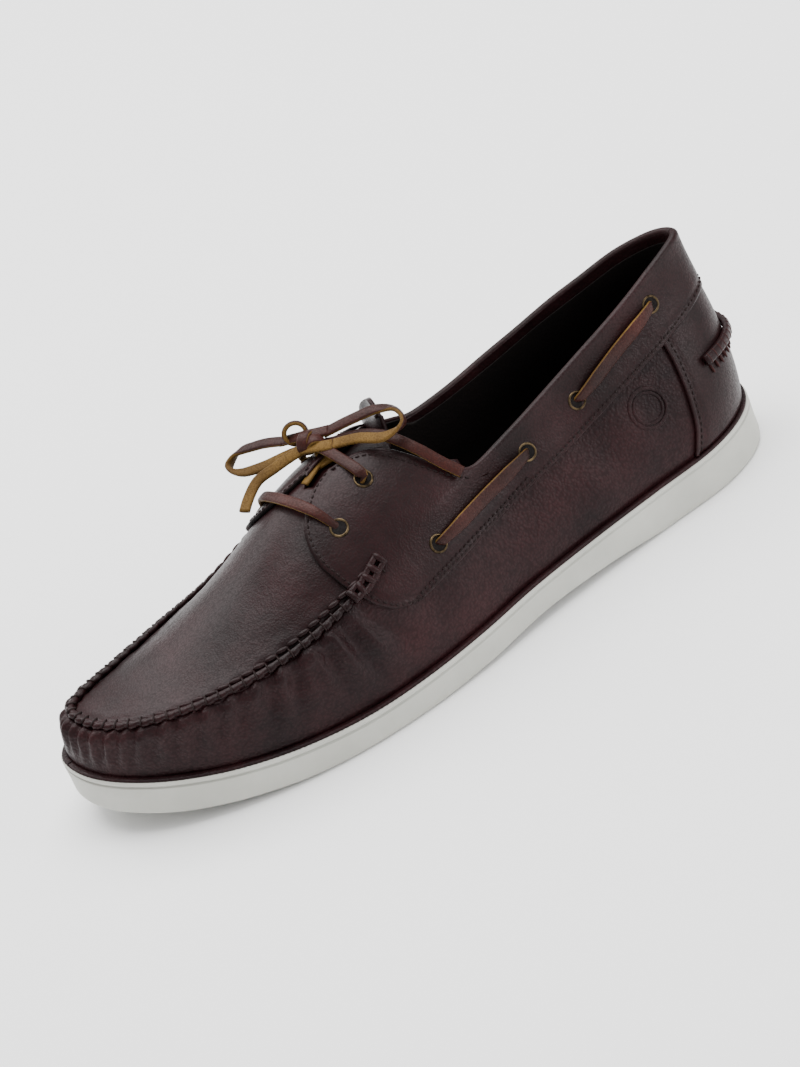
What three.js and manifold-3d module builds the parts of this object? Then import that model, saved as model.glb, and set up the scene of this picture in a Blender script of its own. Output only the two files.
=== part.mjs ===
// Boat shoe, left foot. Millimetres, +X towards the toe, +Y to the outer (lateral) side, +Z up.
// The origin is on the ground under the middle of the sole.
import * as THREE from 'three';
import { ParametricGeometry } from 'three/addons/geometries/ParametricGeometry.js';
import { mergeVertices } from 'three/addons/utils/BufferGeometryUtils.js';
import Module from 'manifold-3d';

const wasm = await Module();
wasm.setup();

// ---- driving dimensions -------------------------------------------------------------
const LENGTH = 300;          // outsole from the back of the heel to the tip of the toe
const MIDDLE_X = 148.07;     // middle of the shoe's length, its heel roll among it
const MIDDLE_Y = 6.34;       // middle of the sole's width, on the last's axis
const FEATHER = 3;           // the upper stands this far inside the sole's edge
const WALL = 2;              // leather of the upper
const GAP = 0.3;             // air between pieces that touch
const INSOLE_THICK = 3;
const TONGUE_THICK = 1.8;
const FINENESS = 0.02;       // details smaller than this are merged
const OVERLAY = 1.5;         // leather of the saddle
const COUNTER = 1.2;         // leather of the heel counter
const TAB_ROLL = { thick: 2.4, tall: 4, z: 43.5, reach: 0.15 };   // hand-sewn lip round the heel
const HOLE_RADIUS = 2.6;     // holes for the eyelets, through saddle and upper
const RING = { bore: 1.8, barrel: 2.3, flange: 3.6, thick: 0.8 };
const LACE_RADIUS = 1.3;     // plain round stand-in for the flat rawhide lace
const LACE_LIFT = 5;         // middle of the lace above the last where it crosses a ring

// ---- the last -----------------------------------------------------------------------
// Sole sections from heel to toe: place along the shoe, half-widths, underside and top.
const SOLE = table(['x', 'outer', 'inner', 'under', 'top'], [
  [0, 0, 0, 0, 18],
  [10, 23.5, -22.5, 0, 17.9],
  [30, 34, -32, 0, 17.5],
  [60, 38, -32, 0, 17],
  [90, 41.8, -27.8, 2.4, 16.3],
  [120, 46.5, -24.2, 3, 15.3],
  [150, 53, -28.5, 1, 13.8],
  [175, 56.5, -37.2, 0, 12.8],
  [200, 57.5, -44.2, 0, 12.6],
  [225, 55, -44.2, 0.4, 13.9],
  [250, 48.5, -40, 2.6, 16.6],
  [270, 39.8, -32.8, 5.4, 20.2],
  [286, 28.8, -23.4, 8.8, 24],
  [300, 0, 0, 12.5, 28],
]);

// Shoulder of the upper: the collar's edge behind, the moccasin seam ahead.
// z is its height, drop how much lower it runs on the inner side, crown how far the top
// arches over it, reach and fall how the wall turns into it, swell the wall's outward belly.
const SHOULDER = table(['x', 'outer', 'inner', 'z', 'drop', 'crown', 'reach', 'fall', 'swell'], [
  [3.5, 0, 0, 88.5, 0, 0, 0.10, 0.35, 0.09],
  [12, 6.5, -10.5, 87, 0, 5, 0.10, 0.35, 0.08],
  [22, 9.5, -15.5, 84.5, 0, 8, 0.10, 0.35, 0.07],
  [40, 13.5, -20, 79.5, 0, 10, 0.10, 0.35, 0.05],
  [60, 17.5, -23, 74.8, 0, 10, 0.10, 0.35, 0.05],
  [85, 22, -24.5, 69, 0, 12, 0.12, 0.35, 0.05],
  [112, 27, -25, 63.5, -1, 16, 0.15, 0.30, 0.05],
  [140, 35, -26.5, 60, -3, 22, 0.25, 0.25, 0.04],
  [165, 40.5, -28.5, 55.5, -4, 24.5, 0.40, 0.15, 0.03],
  [190, 44.5, -29, 50, -2.5, 23, 0.50, 0.10, 0.02],
  [215, 45.5, -28.5, 45.5, 1, 17, 0.55, 0.05, 0.02],
  [240, 42.5, -25.5, 43.5, 2, 10, 0.60, 0, 0.02],
  [262, 35, -19.5, 43, 2, 5, 0.60, 0, 0.02],
  [280, 22.5, -11.5, 43.5, 1, 1.5, 0.60, 0, 0.02],
  [288.5, 0, 0, 44, 0, 0, 0.60, 0, 0.02],
]);

// The opening in the top ahead of the collar: its corner, then the throat's edges.
const THROAT = table(['x', 'outer', 'inner'], [
  [122, 26.5, -22.5],
  [134, 22, -19],
  [141, 17.5, -15.5],
  [145, 9, -8],
  [153, 5.5, -5.5],
  [166, 7, -7],
  [176, 7, -7],
]);

// The tongue: half its width, its shift to the inner side, and its rise towards its tip.
const TONGUE = table(['x', 'half', 'shift', 'rise'], [
  [190, 16, 4, 0],
  [178, 19, 5, 0],
  [166, 20, 5, 0],
  [156, 20, 5.5, 0],
  [148, 19, 6, 0],
  [143, 17, 6.5, 0],
  [140.8, 13.5, 7, 0.8],
  [139.4, 11.5, 7.5, 5],
  [138.5, 11, 8, 11],
]);

// Lower edge of the saddle and collar band, seen from the side.
const BAND_EDGE = [
  { x: -10, z: 67.5 },
  { x: 5, z: 67 },
  { x: 21, z: 62.5 },
  { x: 43, z: 58.2 },
  { x: 68, z: 52.9 },
  { x: 98, z: 47.7 },
  { x: 128, z: 43.9 },
  { x: 153, z: 40.6 },
  { x: 166, z: 39.8 },
  { x: 174, z: 42 },
  { x: 180, z: 47 },
  { x: 186, z: 54.5 },
  { x: 191, z: 62 },
];

// Front edge of the saddle seen from above; the inner side's is further ahead.
const SADDLE_FRONT = [
  { x: 150, outer: 3.5, inner: -4.5 },
  { x: 163, outer: 4.5, inner: -5.5 },
  { x: 170, outer: 7, inner: -7 },
  { x: 176, outer: 10.5, inner: -8.5 },
  { x: 182, outer: 15, inner: -10 },
  { x: 187, outer: 20, inner: -12 },
  { x: 190, outer: 25, inner: -14 },
  { x: 191, outer: 30, inner: -17 },
  { x: 191, outer: 60, inner: -22 },
];
const INNER_AHEAD = 6;       // the inner saddle reaches this much further to the toe

// Front edge of the heel counter, seen from the side.
const COUNTER_EDGE = [
  { x: 21.3, z: 60 },
  { x: 22.4, z: 53.8 },
  { x: 25.7, z: 45.5 },
  { x: 30.8, z: 35.9 },
  { x: 36.5, z: 24.3 },
  { x: 38, z: 18.6 },
];

// Eyelets on the last: turn from heel to toe and climb from the sole, on each side.
const EYELETS = [
  { name: 'collar_back', outer: { turn: 0.188, up: 0.86 }, inner: { turn: 0.190, up: 0.86 } },
  { name: 'collar_rear', outer: { turn: 0.325, up: 0.79 }, inner: { turn: 0.330, up: 0.79 } },
  { name: 'collar_front', outer: { turn: 0.392, up: 0.78 }, inner: { turn: 0.398, up: 0.78 } },
  { name: 'quarter', outer: { turn: 0.502, up: 0.75 }, inner: { turn: 0.515, up: 0.75 } },
  { name: 'throat_top', outer: { turn: 0.527, up: 1.55 }, inner: { turn: 0.540, up: 1.28 } },
  { name: 'throat_low', outer: { turn: 0.567, up: 1.40 }, inner: { turn: 0.592, up: 1.32 } },
];

// Routes of the bow: places on the last's own axes, chosen by hand.
const KNOT = { x: 164.5, y: -7, z: 86.6, long: 5, wide: 8.5, tall: 3.6 };
const BOW = {
  lace_loop_front: [
    [169.5, -16.8, 87], [177.6, -29, 85], [184.5, -36, 82], [188.6, -35, 80],
    [187.5, -26.5, 80], [181, -19, 81.5], [174, -13.8, 83.5],
  ],
  lace_loop_back: [
    [157.8, -4.6, 88.4], [147.3, 1.7, 91], [138.8, 6.9, 92.2], [134.4, 14.5, 92],
    [136.1, 21.8, 90], [142.6, 20.5, 88.3], [151.5, 9, 87.5], [160.6, 2.2, 87],
  ],
  lace_end_front: [
    [171, -8.6, 85], [178.5, -10.8, 83], [186.2, -13.3, 80.5], [192.9, -10.6, 77.5],
    [196.8, -7.7, 75.5],
  ],
  lace_end_back: [
    [158.2, -1, 85.2], [150, 4, 85.8], [142.5, 13.5, 85], [136, 24.5, 79.5],
    [130.3, 30.2, 71.5], [126.2, 33.8, 66.5],
  ],
};

// A table's rows become one array for each named column.
function table(names, rows) {
  const columns = {};
  names.forEach((name, i) => { columns[name] = rows.map((row) => row[i]); });
  return columns;
}

// Smooth curve through the values at the given knots.
function smooth(knots, values, at) {
  const last = knots.length - 1;
  const slope = (i) => (values[i + 1] - values[i]) / (knots[i + 1] - knots[i]);
  const tangent = (i) => {
    if (i === 0) return slope(0);
    if (i === last) return slope(last - 1);
    const before = knots[i] - knots[i - 1];
    const after = knots[i + 1] - knots[i];
    return (slope(i - 1) * after + slope(i) * before) / (before + after);
  };
  let i = 0;
  while (i < last - 1 && at >= knots[i + 1]) i += 1;
  const width = knots[i + 1] - knots[i];
  const s = (at - knots[i]) / width;
  const rise = values[i + 1] - values[i];
  const a = tangent(i) * width;
  const b = tangent(i + 1) * width;
  return values[i] + a * s + (3 * rise - 2 * a - b) * s * s + (a + b - 2 * rise) * s * s * s;
}

// Rows are spaced by the half turn that they take round the shoe, so both ends close round.
function turnAt(columns, x) {
  const first = columns.x[0];
  const span = columns.x[columns.x.length - 1] - first;
  return Math.acos(THREE.MathUtils.clamp(1 - 2 * (x - first) / span, -1, 1)) / Math.PI;
}

function lookUp(columns, name, turn) {
  columns.knots ??= columns.x.map((x) => turnAt(columns, x));
  return smooth(columns.knots, columns[name], turn);
}

function xAt(columns, turn) {
  const first = columns.x[0];
  const span = columns.x[columns.x.length - 1] - first;
  return first + span * (1 - Math.cos(Math.PI * turn)) / 2;
}

// Going round: 0 is the heel, 1 the toe by the outer side, 2 the heel again by the inner side.
function half(round) {
  return round <= 1 ? { turn: round, side: 'outer' } : { turn: 2 - round, side: 'inner' };
}

function soleEdge(round, inset) {
  const { turn, side } = half(round);
  const x = LENGTH / 2 + (xAt(SOLE, turn) - LENGTH / 2) * (1 - 2 * inset / LENGTH);
  const widest = 52;
  return new THREE.Vector2(x, lookUp(SOLE, side, turn) * (1 - inset / widest));
}

function soleTop(x) {
  return lookUp(SOLE, 'top', turnAt(SOLE, x));
}

function soleUnder(x) {
  return Math.max(0, lookUp(SOLE, 'under', turnAt(SOLE, x)));
}

// Top of the last between the shoulders, across is +1 at the outer and -1 at the inner one.
function crownPoint(turn, across) {
  const outer = lookUp(SHOULDER, 'outer', turn);
  const inner = lookUp(SHOULDER, 'inner', turn);
  const drop = lookUp(SHOULDER, 'drop', turn);
  const arch = lookUp(SHOULDER, 'crown', turn) * (1 - across * across);
  const y = (outer + inner) / 2 + across * (outer - inner) / 2;
  const z = lookUp(SHOULDER, 'z', turn) - drop * (1 - across) / 2 + arch;
  return new THREE.Vector3(xAt(SHOULDER, turn), y, z);
}

// Wall of the last from the sole (up = 0) to the shoulder (up = 1).
function wallPoint(round, up) {
  const { turn, side } = half(round);
  const edge = soleEdge(round, FEATHER);
  const foot = new THREE.Vector3(edge.x, edge.y, soleTop(edge.x) + GAP);
  const shoulder = crownPoint(turn, side === 'outer' ? 1 : -1);
  const height = shoulder.z - foot.z;
  const step = 0.001;
  const ahead = soleEdge((round + step) % 2, FEATHER);
  const behind = soleEdge((round + 2 - step) % 2, FEATHER);
  const outwards = new THREE.Vector2(behind.y - ahead.y, ahead.x - behind.x).normalize();
  const swell = lookUp(SHOULDER, 'swell', turn) * height;
  const reach = lookUp(SHOULDER, 'reach', turn);
  const fall = lookUp(SHOULDER, 'fall', turn) * height;
  const low = new THREE.Vector3(outwards.x * swell, outwards.y * swell, 0.4 * height).add(foot);
  const high = new THREE.Vector3((foot.x - shoulder.x) * reach, (foot.y - shoulder.y) * reach, -fall);
  high.add(shoulder);
  return new THREE.CubicBezierCurve3(foot, low, high, shoulder).getPoint(up);
}

// A point on the whole last: 0 to 1 climbs the wall, 1 to 2 crosses the top to its middle.
function lastPoint(round, up) {
  if (up <= 1) return wallPoint(round, up);
  const { turn, side } = half(round);
  return crownPoint(turn, (side === 'outer' ? 1 : -1) * (2 - up));
}

function grownPoint(round, up, grow) {
  const step = 0.002;
  const inside = THREE.MathUtils.clamp(round, 0, 2);
  const along = lastPoint((inside + step) % 2, up).sub(lastPoint((inside + 2 - step) % 2, up));
  const top = Math.min(up + step, 2);
  const climb = lastPoint(inside, top).sub(lastPoint(inside, Math.max(up - step, 0)));
  const outwards = climb.cross(along).normalize();
  return lastPoint(inside, up).addScaledVector(outwards, grow);
}

// ---- solids -------------------------------------------------------------------------
// A closed surface from a function of two numbers, welded and freed of collapsed faces.
function skin(point, around, rows) {
  const shape = new ParametricGeometry((u, v, out) => out.copy(point(u, v)), around, rows);
  shape.deleteAttribute('normal');
  shape.deleteAttribute('uv');
  return solidOf(shape);
}

function solidOf(geometry) {
  geometry.deleteAttribute('normal');
  geometry.deleteAttribute('uv');
  const welded = mergeVertices(geometry, 1e-3);
  const index = welded.index.array;
  const faces = [];
  for (let i = 0; i < index.length; i += 3) {
    const [a, b, c] = [index[i], index[i + 1], index[i + 2]];
    if (a !== b && b !== c && c !== a) faces.push(a, b, c);
  }
  const mesh = { numProp: 3, vertProperties: welded.attributes.position.array };
  let body = new wasm.Manifold(new wasm.Mesh({ ...mesh, triVerts: new Uint32Array(faces) }));
  if (body.volume() < 0) {
    const turned = new Uint32Array(faces).reverse();
    body = new wasm.Manifold(new wasm.Mesh({ ...mesh, triVerts: turned }));
  }
  return body;
}

// The last, grown outwards by a thickness; its foot is lowered by sink.
const AROUND = 60;
const LAST_ROWS = [-1, 0, 0.18, 0.42, 0.64, 0.84, 1, 1.15, 1.38, 1.66, 2];
function lastForm(grow, sink) {
  const point = (u, v) => {
    const round = 2 * u;
    const up = LAST_ROWS[Math.round(v * (LAST_ROWS.length - 1))];
    const other = 2 - round;
    if (up > 0 && up < 2) return grownPoint(round, up, grow);
    const here = grownPoint(round, Math.max(up, 0), grow);
    if (up === 0) return here.setZ(here.z - sink);
    const middle = here.add(grownPoint(other, Math.max(up, 0), grow)).multiplyScalar(0.5);
    return up < 0 ? middle.setZ(middle.z - sink) : middle;
  };
  return skin(point, AROUND, LAST_ROWS.length - 1);
}

// A level outline raised into a block between two heights.
function block(outline, low, high) {
  const shape = new THREE.Shape(outline);
  const body = new THREE.ExtrudeGeometry(shape, { depth: high - low, bevelEnabled: false });
  return solidOf(body.translate(0, 0, low));
}

// Plan outline of the opening: inside the collar behind, then along the throat's edges.
function openingOutline() {
  const rim = WALL * 0.8;
  const corner = turnAt(SHOULDER, THROAT.x[0] - 2);
  const steps = 24;
  const outer = [];
  const inner = [];
  for (let i = 1; i <= steps; i += 1) {
    const middle = crownPoint(corner * i / steps, 0);
    const spread = crownPoint(corner * i / steps, 1).y - middle.y - rim;
    const x = middle.x + rim * Math.max(0, 1 - i / 8);
    if (spread > 2) {
      outer.push(new THREE.Vector2(x, middle.y + spread));
      inner.push(new THREE.Vector2(x, middle.y - spread));
    }
  }
  THROAT.x.forEach((x, i) => {
    outer.push(new THREE.Vector2(x, THROAT.outer[i]));
    inner.push(new THREE.Vector2(x, THROAT.inner[i]));
  });
  return [...outer, ...inner.reverse()];
}

function outsole() {
  // Each row: how far in from the edge, and which height it takes.
  const rows = [
    { inset: null, z: (x) => soleUnder(x) },
    { inset: 1.2, z: (x) => soleUnder(x) },
    { inset: 0.2, z: (x) => soleUnder(x) + 1 },
    { inset: 0, z: (x) => (soleUnder(x) + soleTop(x)) / 2 },
    { inset: 0.4, z: (x) => soleTop(x) - 1 },
    { inset: 1.2, z: (x) => soleTop(x) },
    { inset: null, z: (x) => soleTop(x) },
  ];
  const around = 80;
  const point = (u, v) => {
    const row = rows[Math.round(v * (rows.length - 1))];
    const edge = soleEdge(2 * u, row.inset ?? 1.2);
    const across = soleEdge(2 - 2 * u, row.inset ?? 1.2);
    const y = row.inset === null ? (edge.y + across.y) / 2 : edge.y;
    return new THREE.Vector3(edge.x, y, row.z(edge.x));
  };
  return skin(point, around, rows.length - 1);
}

function insole() {
  const clear = WALL + 0.9;
  const rows = [
    { side: 0, lift: GAP },
    { side: 1, lift: GAP },
    { side: 1, lift: GAP + INSOLE_THICK - 0.6 },
    { side: 0.98, lift: GAP + INSOLE_THICK },
    { side: 0, lift: GAP + INSOLE_THICK },
  ];
  const around = 56;
  const point = (u, v) => {
    const row = rows[Math.round(v * (rows.length - 1))];
    const edge = grownPoint(2 * u, 0, -clear);
    const middle = grownPoint(2 - 2 * u, 0, -clear).add(edge).multiplyScalar(0.5);
    const { x, y } = middle.lerp(edge, row.side);
    return new THREE.Vector3(x, y, soleTop(x) + row.lift);
  };
  return skin(point, around, rows.length - 1);
}

// A side outline carried across the shoe from one y to another.
function sideBlock(outline, from, to) {
  const shape = new THREE.Shape(outline.map((p) => new THREE.Vector2(p.x, p.z)));
  const body = new THREE.ExtrudeGeometry(shape, { depth: to - from, bevelEnabled: false });
  return solidOf(body.rotateX(Math.PI / 2).translate(0, to, 0));
}

// Where each eyelet stands: its place on the last, and the way it faces.
function eyeletPlaces() {
  const places = [];
  for (const side of ['outer', 'inner']) {
    for (const row of EYELETS) {
      const { turn, up } = row[side];
      const round = side === 'outer' ? turn : 2 - turn;
      const at = lastPoint(round, up);
      const facing = grownPoint(round, up, 1).sub(at).normalize();
      places.push({ name: `eyelet_${side}_${row.name}`, at, facing });
    }
  }
  return places;
}

// Turns a shape made along +Z to face a direction, with its origin at a place.
function facingSolid(geometry, at, facing) {
  const turn = new THREE.Quaternion().setFromUnitVectors(new THREE.Vector3(0, 0, 1), facing);
  return solidOf(geometry.applyQuaternion(turn).translate(at.x, at.y, at.z));
}

function drillEyelets(body) {
  return eyeletPlaces().reduce((rest, { at, facing }) => {
    const drill = new THREE.CylinderGeometry(HOLE_RADIUS, HOLE_RADIUS, 9, 8);
    return rest.subtract(facingSolid(drill.rotateX(Math.PI / 2), at, facing));
  }, body);
}

function upper() {
  const shell = lastForm(0, 0).subtract(lastForm(-WALL, WALL));
  return drillEyelets(shell.subtract(block(openingOutline(), 40, 140)));
}

// A leather overlay of the last's own form, lying on the upper.
function overlay(thick) {
  return lastForm(GAP + thick, 0).subtract(lastForm(GAP, 1));
}

function saddle() {
  const top = 200;
  const edge = BAND_EDGE;
  const wide = 90;
  const heelTop = SHOULDER.z[0] - GAP;
  const over = [{ x: 191, z: top }, { x: 30, z: top }, { x: 20, z: heelTop }, { x: -10, z: heelTop }];
  const outerSide = [...edge, ...over];
  const innerSide = outerSide.map(({ x, z }) => ({ x: x > 150 ? x + INNER_AHEAD : x, z }));
  const outer = SADDLE_FRONT.map((p) => new THREE.Vector2(p.x, p.outer)).reverse();
  const inner = SADDLE_FRONT.map((p) => new THREE.Vector2(p.x + INNER_AHEAD, p.inner));
  const outerCorners = [new THREE.Vector2(-10, wide), new THREE.Vector2(191, wide)];
  const innerCorners = [new THREE.Vector2(191 + INNER_AHEAD, -wide), new THREE.Vector2(-10, -wide)];
  const plan = block([...outerCorners, ...outer, ...inner, ...innerCorners], 10, 150);
  const middle = 1.7;
  const sides = sideBlock(outerSide, middle, wide).add(sideBlock(innerSide, -wide, middle));
  const leather = overlay(OVERLAY).intersect(sides).intersect(plan);
  return drillEyelets(leather.subtract(block(openingOutline(), 40, 140)));
}

function heelCounter() {
  const below = BAND_EDGE.filter((p) => p.x < 22).map(({ x, z }) => ({ x, z: z - 2 * GAP })).reverse();
  const outline = [{ x: -10, z: SOLE.top[0] + 2 * GAP }, ...COUNTER_EDGE.toReversed(), ...below];
  return overlay(COUNTER).intersect(sideBlock(outline, -90, 90));
}

// The hand-sewn lip that runs round the back of the heel over the counter.
function heelTab() {
  const steps = 16;
  const points = [];
  for (let i = 0; i <= steps; i += 1) {
    const round = (2 + TAB_ROLL.reach * (1 - 2 * i / steps)) % 2;
    const { turn } = half(round);
    const foot = wallPoint(round, 0).z;
    const rise = (TAB_ROLL.z + 3 * turn / TAB_ROLL.reach - foot) / (crownPoint(turn, 1).z - foot);
    points.push(grownPoint(round, rise, COUNTER + 2 * GAP + TAB_ROLL.thick / 2));
  }
  const path = new THREE.CatmullRomCurve3(points);
  const section = new THREE.Shape();
  section.absellipse(0, 0, TAB_ROLL.tall / 2, TAB_ROLL.thick / 2, 0, 2 * Math.PI);
  const options = { steps: 20, curveSegments: 5, bevelEnabled: false, extrudePath: path };
  return solidOf(new THREE.ExtrudeGeometry(section, options));
}

function eyelet({ at, facing }) {
  const { bore, barrel, flange, thick } = RING;
  const seat = OVERLAY + 2 * GAP + 0.25;
  const profile = [
    [bore, -WALL - 0.1], [barrel, -WALL - 0.1], [barrel, seat], [flange, seat],
    [flange - 0.7, seat + thick], [bore, seat + 0.7 * thick],
    [bore, -WALL - 0.1],
  ];
  const points = profile.map(([r, z]) => new THREE.Vector2(r, z));
  return facingSolid(new THREE.LatheGeometry(points, 9).rotateX(Math.PI / 2), at, facing);
}

// Height of the air gap's lower side under the upper's leather, at a place in plan.
function underLeather(x, y) {
  const turn = turnAt(SHOULDER, x);
  const outer = crownPoint(turn, 1);
  const inner = crownPoint(turn, -1);
  const across = (2 * y - outer.y - inner.y) / (outer.y - inner.y);
  const crown = lookUp(SHOULDER, 'crown', turn);
  const slope = 4 * crown * across / (outer.y - inner.y);
  return crownPoint(turn, across).z - (WALL + 3 * GAP) * Math.hypot(1, slope, 0.4);
}

// The tongue's face at a place along it (0 front, 1 tip) and across it (-1 inner, +1 outer).
function tongueFace(along, across, depth) {
  const knots = TONGUE.x.map((x, i) => i / (TONGUE.x.length - 1));
  const x = smooth(knots, TONGUE.x, along);
  const middle = crownPoint(turnAt(SHOULDER, x), 0).y - smooth(knots, TONGUE.shift, along);
  const y = middle + across * smooth(knots, TONGUE.half, along);
  return new THREE.Vector3(x, y, underLeather(x, y) + smooth(knots, TONGUE.rise, along) - depth);
}

function tongue() {
  const across = 10;
  const rows = 14;
  const point = (u, v) => {
    const along = v;
    const upside = u <= 0.5;
    const place = upside ? 4 * u - 1 : 3 - 4 * u;
    const atEdge = v === 0 || v === 1 || Math.abs(place) > 0.999;
    const thick = atEdge ? TONGUE_THICK / 2 : (upside ? 0 : TONGUE_THICK);
    return tongueFace(along, place, thick);
  };
  return skin(point, across * 2, rows);
}

// A lace along the given places.
function lace(points) {
  const path = new THREE.CatmullRomCurve3(points);
  const section = new THREE.Shape();
  section.absarc(0, 0, LACE_RADIUS, 0, 2 * Math.PI);
  const steps = Math.max(4, Math.round(path.getLength() / (4 * LACE_RADIUS)));
  const options = { steps, curveSegments: 4, bevelEnabled: false, extrudePath: path };
  return solidOf(new THREE.ExtrudeGeometry(section, options));
}

// Outer end of an eyelet, where the lace comes out over its ring.
function mouth(name) {
  const { at, facing } = eyeletPlaces().find((spot) => spot.name === `eyelet_${name}`);
  return at.clone().addScaledVector(facing, LACE_LIFT);
}

// A lace on the outside of the last between two eyelets.
function laceRun(from, to) {
  const middle = from.clone().add(to).multiplyScalar(0.5);
  return lace([from, middle.setY(middle.y * 1.02), to]);
}

// The bar between the lower eyelets, over the throat, bowed a little towards the toe.
function laceBar() {
  const { outer, inner } = EYELETS.find((row) => row.name === 'throat_low');
  const points = [];
  const steps = 6;
  for (let i = 0; i <= steps; i += 1) {
    const bow = Math.sin(Math.PI * i / steps);
    const turn = THREE.MathUtils.lerp(outer.turn, inner.turn, i / steps) + 0.007 * bow;
    const across = THREE.MathUtils.lerp(2 - outer.up, inner.up - 2, i / steps);
    const up = Math.min(2 - Math.abs(across), 1.99);
    points.push(grownPoint(across > 0 ? turn : 2 - turn, up, LACE_LIFT - 0.8 * bow));
  }
  return lace(points);
}

// The two laces that cross over the tongue, inside the throat.
function laceCross() {
  const reach = 4.6;
  const lift = LACE_RADIUS + 2 * GAP;
  const at = (x, y) => new THREE.Vector3(x, y, underLeather(x, y) + lift);
  const strand = (side) => lace([at(173, side * reach), at(166, 0), at(159, -side * reach * 0.6)]);
  return strand(1).add(strand(-1));
}

// From a top eyelet to the knot.
function laceToKnot(side, y) {
  const start = mouth(`${side}_throat_top`);
  const end = new THREE.Vector3(KNOT.x - 1, y, KNOT.z - 0.4);
  const middle = start.clone().add(end).multiplyScalar(0.5);
  return lace([start, middle.setZ(middle.z + 1.6), end]);
}

function knot() {
  const ball = new THREE.SphereGeometry(1, 10, 7).scale(KNOT.long, KNOT.wide, KNOT.tall);
  return solidOf(ball.translate(KNOT.x, KNOT.y, KNOT.z));
}

// ---- scene --------------------------------------------------------------------------
function geometryOf(solid) {
  const body = solid.simplify(FINENESS);
  const { numProp, vertProperties, triVerts } = body.getMesh();
  const geometry = new THREE.BufferGeometry();
  const places = new Float32Array(vertProperties.length / numProp * 3);
  for (let i = 0; i < places.length / 3; i += 1) {
    places.set(vertProperties.subarray(i * numProp, i * numProp + 3), i * 3);
  }
  geometry.setAttribute('position', new THREE.BufferAttribute(places, 3));
  geometry.setIndex(new THREE.BufferAttribute(new Uint32Array(triVerts), 1));
  geometry.computeVertexNormals();
  return geometry;
}

function finish(color, roughness, metalness) {
  return () => new THREE.MeshStandardMaterial({ color, roughness, metalness });
}
const LEATHER = finish('#3a2827', 0.5, 0);
const RUBBER = finish('#d2d2ca', 0.7, 0);
const BRASS = finish('#7d7464', 0.4, 1);
const RAWHIDE = finish('#8a5a3c', 0.55, 0);
const LINING = finish('#2a1c19', 0.7, 0);

const shoe = new THREE.Group();
function place(name, body, material) {
  const mesh = new THREE.Mesh(geometryOf(body), material());
  mesh.name = name;
  mesh.position.set(-MIDDLE_X, -MIDDLE_Y, 0);
  shoe.add(mesh);
}

place('outsole', outsole(), RUBBER);
place('insole', insole(), LINING);
place('upper', upper(), LEATHER);
place('tongue', tongue(), LEATHER);
place('saddle', saddle(), LEATHER);
place('heel_counter', heelCounter(), LEATHER);
place('heel_tab', heelTab(), LEATHER);
for (const spot of eyeletPlaces()) place(spot.name, eyelet(spot), BRASS);
for (const side of ['outer', 'inner']) {
  const front = laceRun(mouth(`${side}_quarter`), mouth(`${side}_collar_front`));
  const rear = laceRun(mouth(`${side}_collar_rear`), mouth(`${side}_collar_back`));
  place(`side_lace_${side}_front`, front, RAWHIDE);
  place(`side_lace_${side}_rear`, rear, RAWHIDE);
}
place('lace_bar', laceBar(), RAWHIDE);
place('lace_cross', laceCross(), RAWHIDE);
place('lace_top_outer', laceToKnot('outer', KNOT.y + KNOT.wide + 1.6), RAWHIDE);
place('lace_top_inner', laceToKnot('inner', KNOT.y - KNOT.wide - 2.4), RAWHIDE);
place('lace_knot', knot(), RAWHIDE);
for (const [name, route] of Object.entries(BOW)) {
  place(name, lace(route.map((p) => new THREE.Vector3(...p))), RAWHIDE);
}

export default shoe;
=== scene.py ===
# %% [markdown]
# # A boat shoe, built back on its own last
#
# The solid model gives the size, the place and the pieces. This file gives each piece the
# look of the real one: creased leather, a gathered toe seam, sewn rows, brass eyelets, a flat
# two-coloured lace and a grooved rubber sole. A shoemaker works on a last, so every leather
# piece here is laid on the same last: a smooth form that a few tables describe.

# %% Load the frame
import math
import bmesh
import bpy
import numpy as np
from mathutils import Matrix, Quaternion, Vector, noise


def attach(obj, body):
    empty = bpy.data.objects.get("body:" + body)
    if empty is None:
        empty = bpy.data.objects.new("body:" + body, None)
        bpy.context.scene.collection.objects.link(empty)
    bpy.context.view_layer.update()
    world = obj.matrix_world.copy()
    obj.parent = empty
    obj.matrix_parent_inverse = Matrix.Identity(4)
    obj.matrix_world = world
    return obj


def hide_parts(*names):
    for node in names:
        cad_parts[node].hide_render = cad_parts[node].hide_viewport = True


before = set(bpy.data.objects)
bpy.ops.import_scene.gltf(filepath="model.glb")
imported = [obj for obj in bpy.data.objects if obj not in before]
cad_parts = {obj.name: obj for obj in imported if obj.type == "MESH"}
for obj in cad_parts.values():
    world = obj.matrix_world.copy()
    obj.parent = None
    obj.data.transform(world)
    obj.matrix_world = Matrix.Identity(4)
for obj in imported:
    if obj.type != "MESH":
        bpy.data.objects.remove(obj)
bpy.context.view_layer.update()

MM = 0.001
MIDDLE = np.array([148.07, 6.34, 0.0])     # middle of the shoe on the last, in mm


def to_row(points):
    """Millimetres on the last to metres in the shared frame."""
    return (np.asarray(points, float) - MIDDLE) * MM


# %% [markdown]
# ## Camera
# The shoe stands flat, and the camera looks down on its outer side from a little ahead of the
# toe. It is rolled, so that the toe points down and to the left as if the shoe were tipped.

# %% The camera
EYE = to_row([474.1, 1187.1, 768.8])
AIM = to_row([150, 8, 42])
LENS = 172
ROLL = math.radians(23.5)

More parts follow.
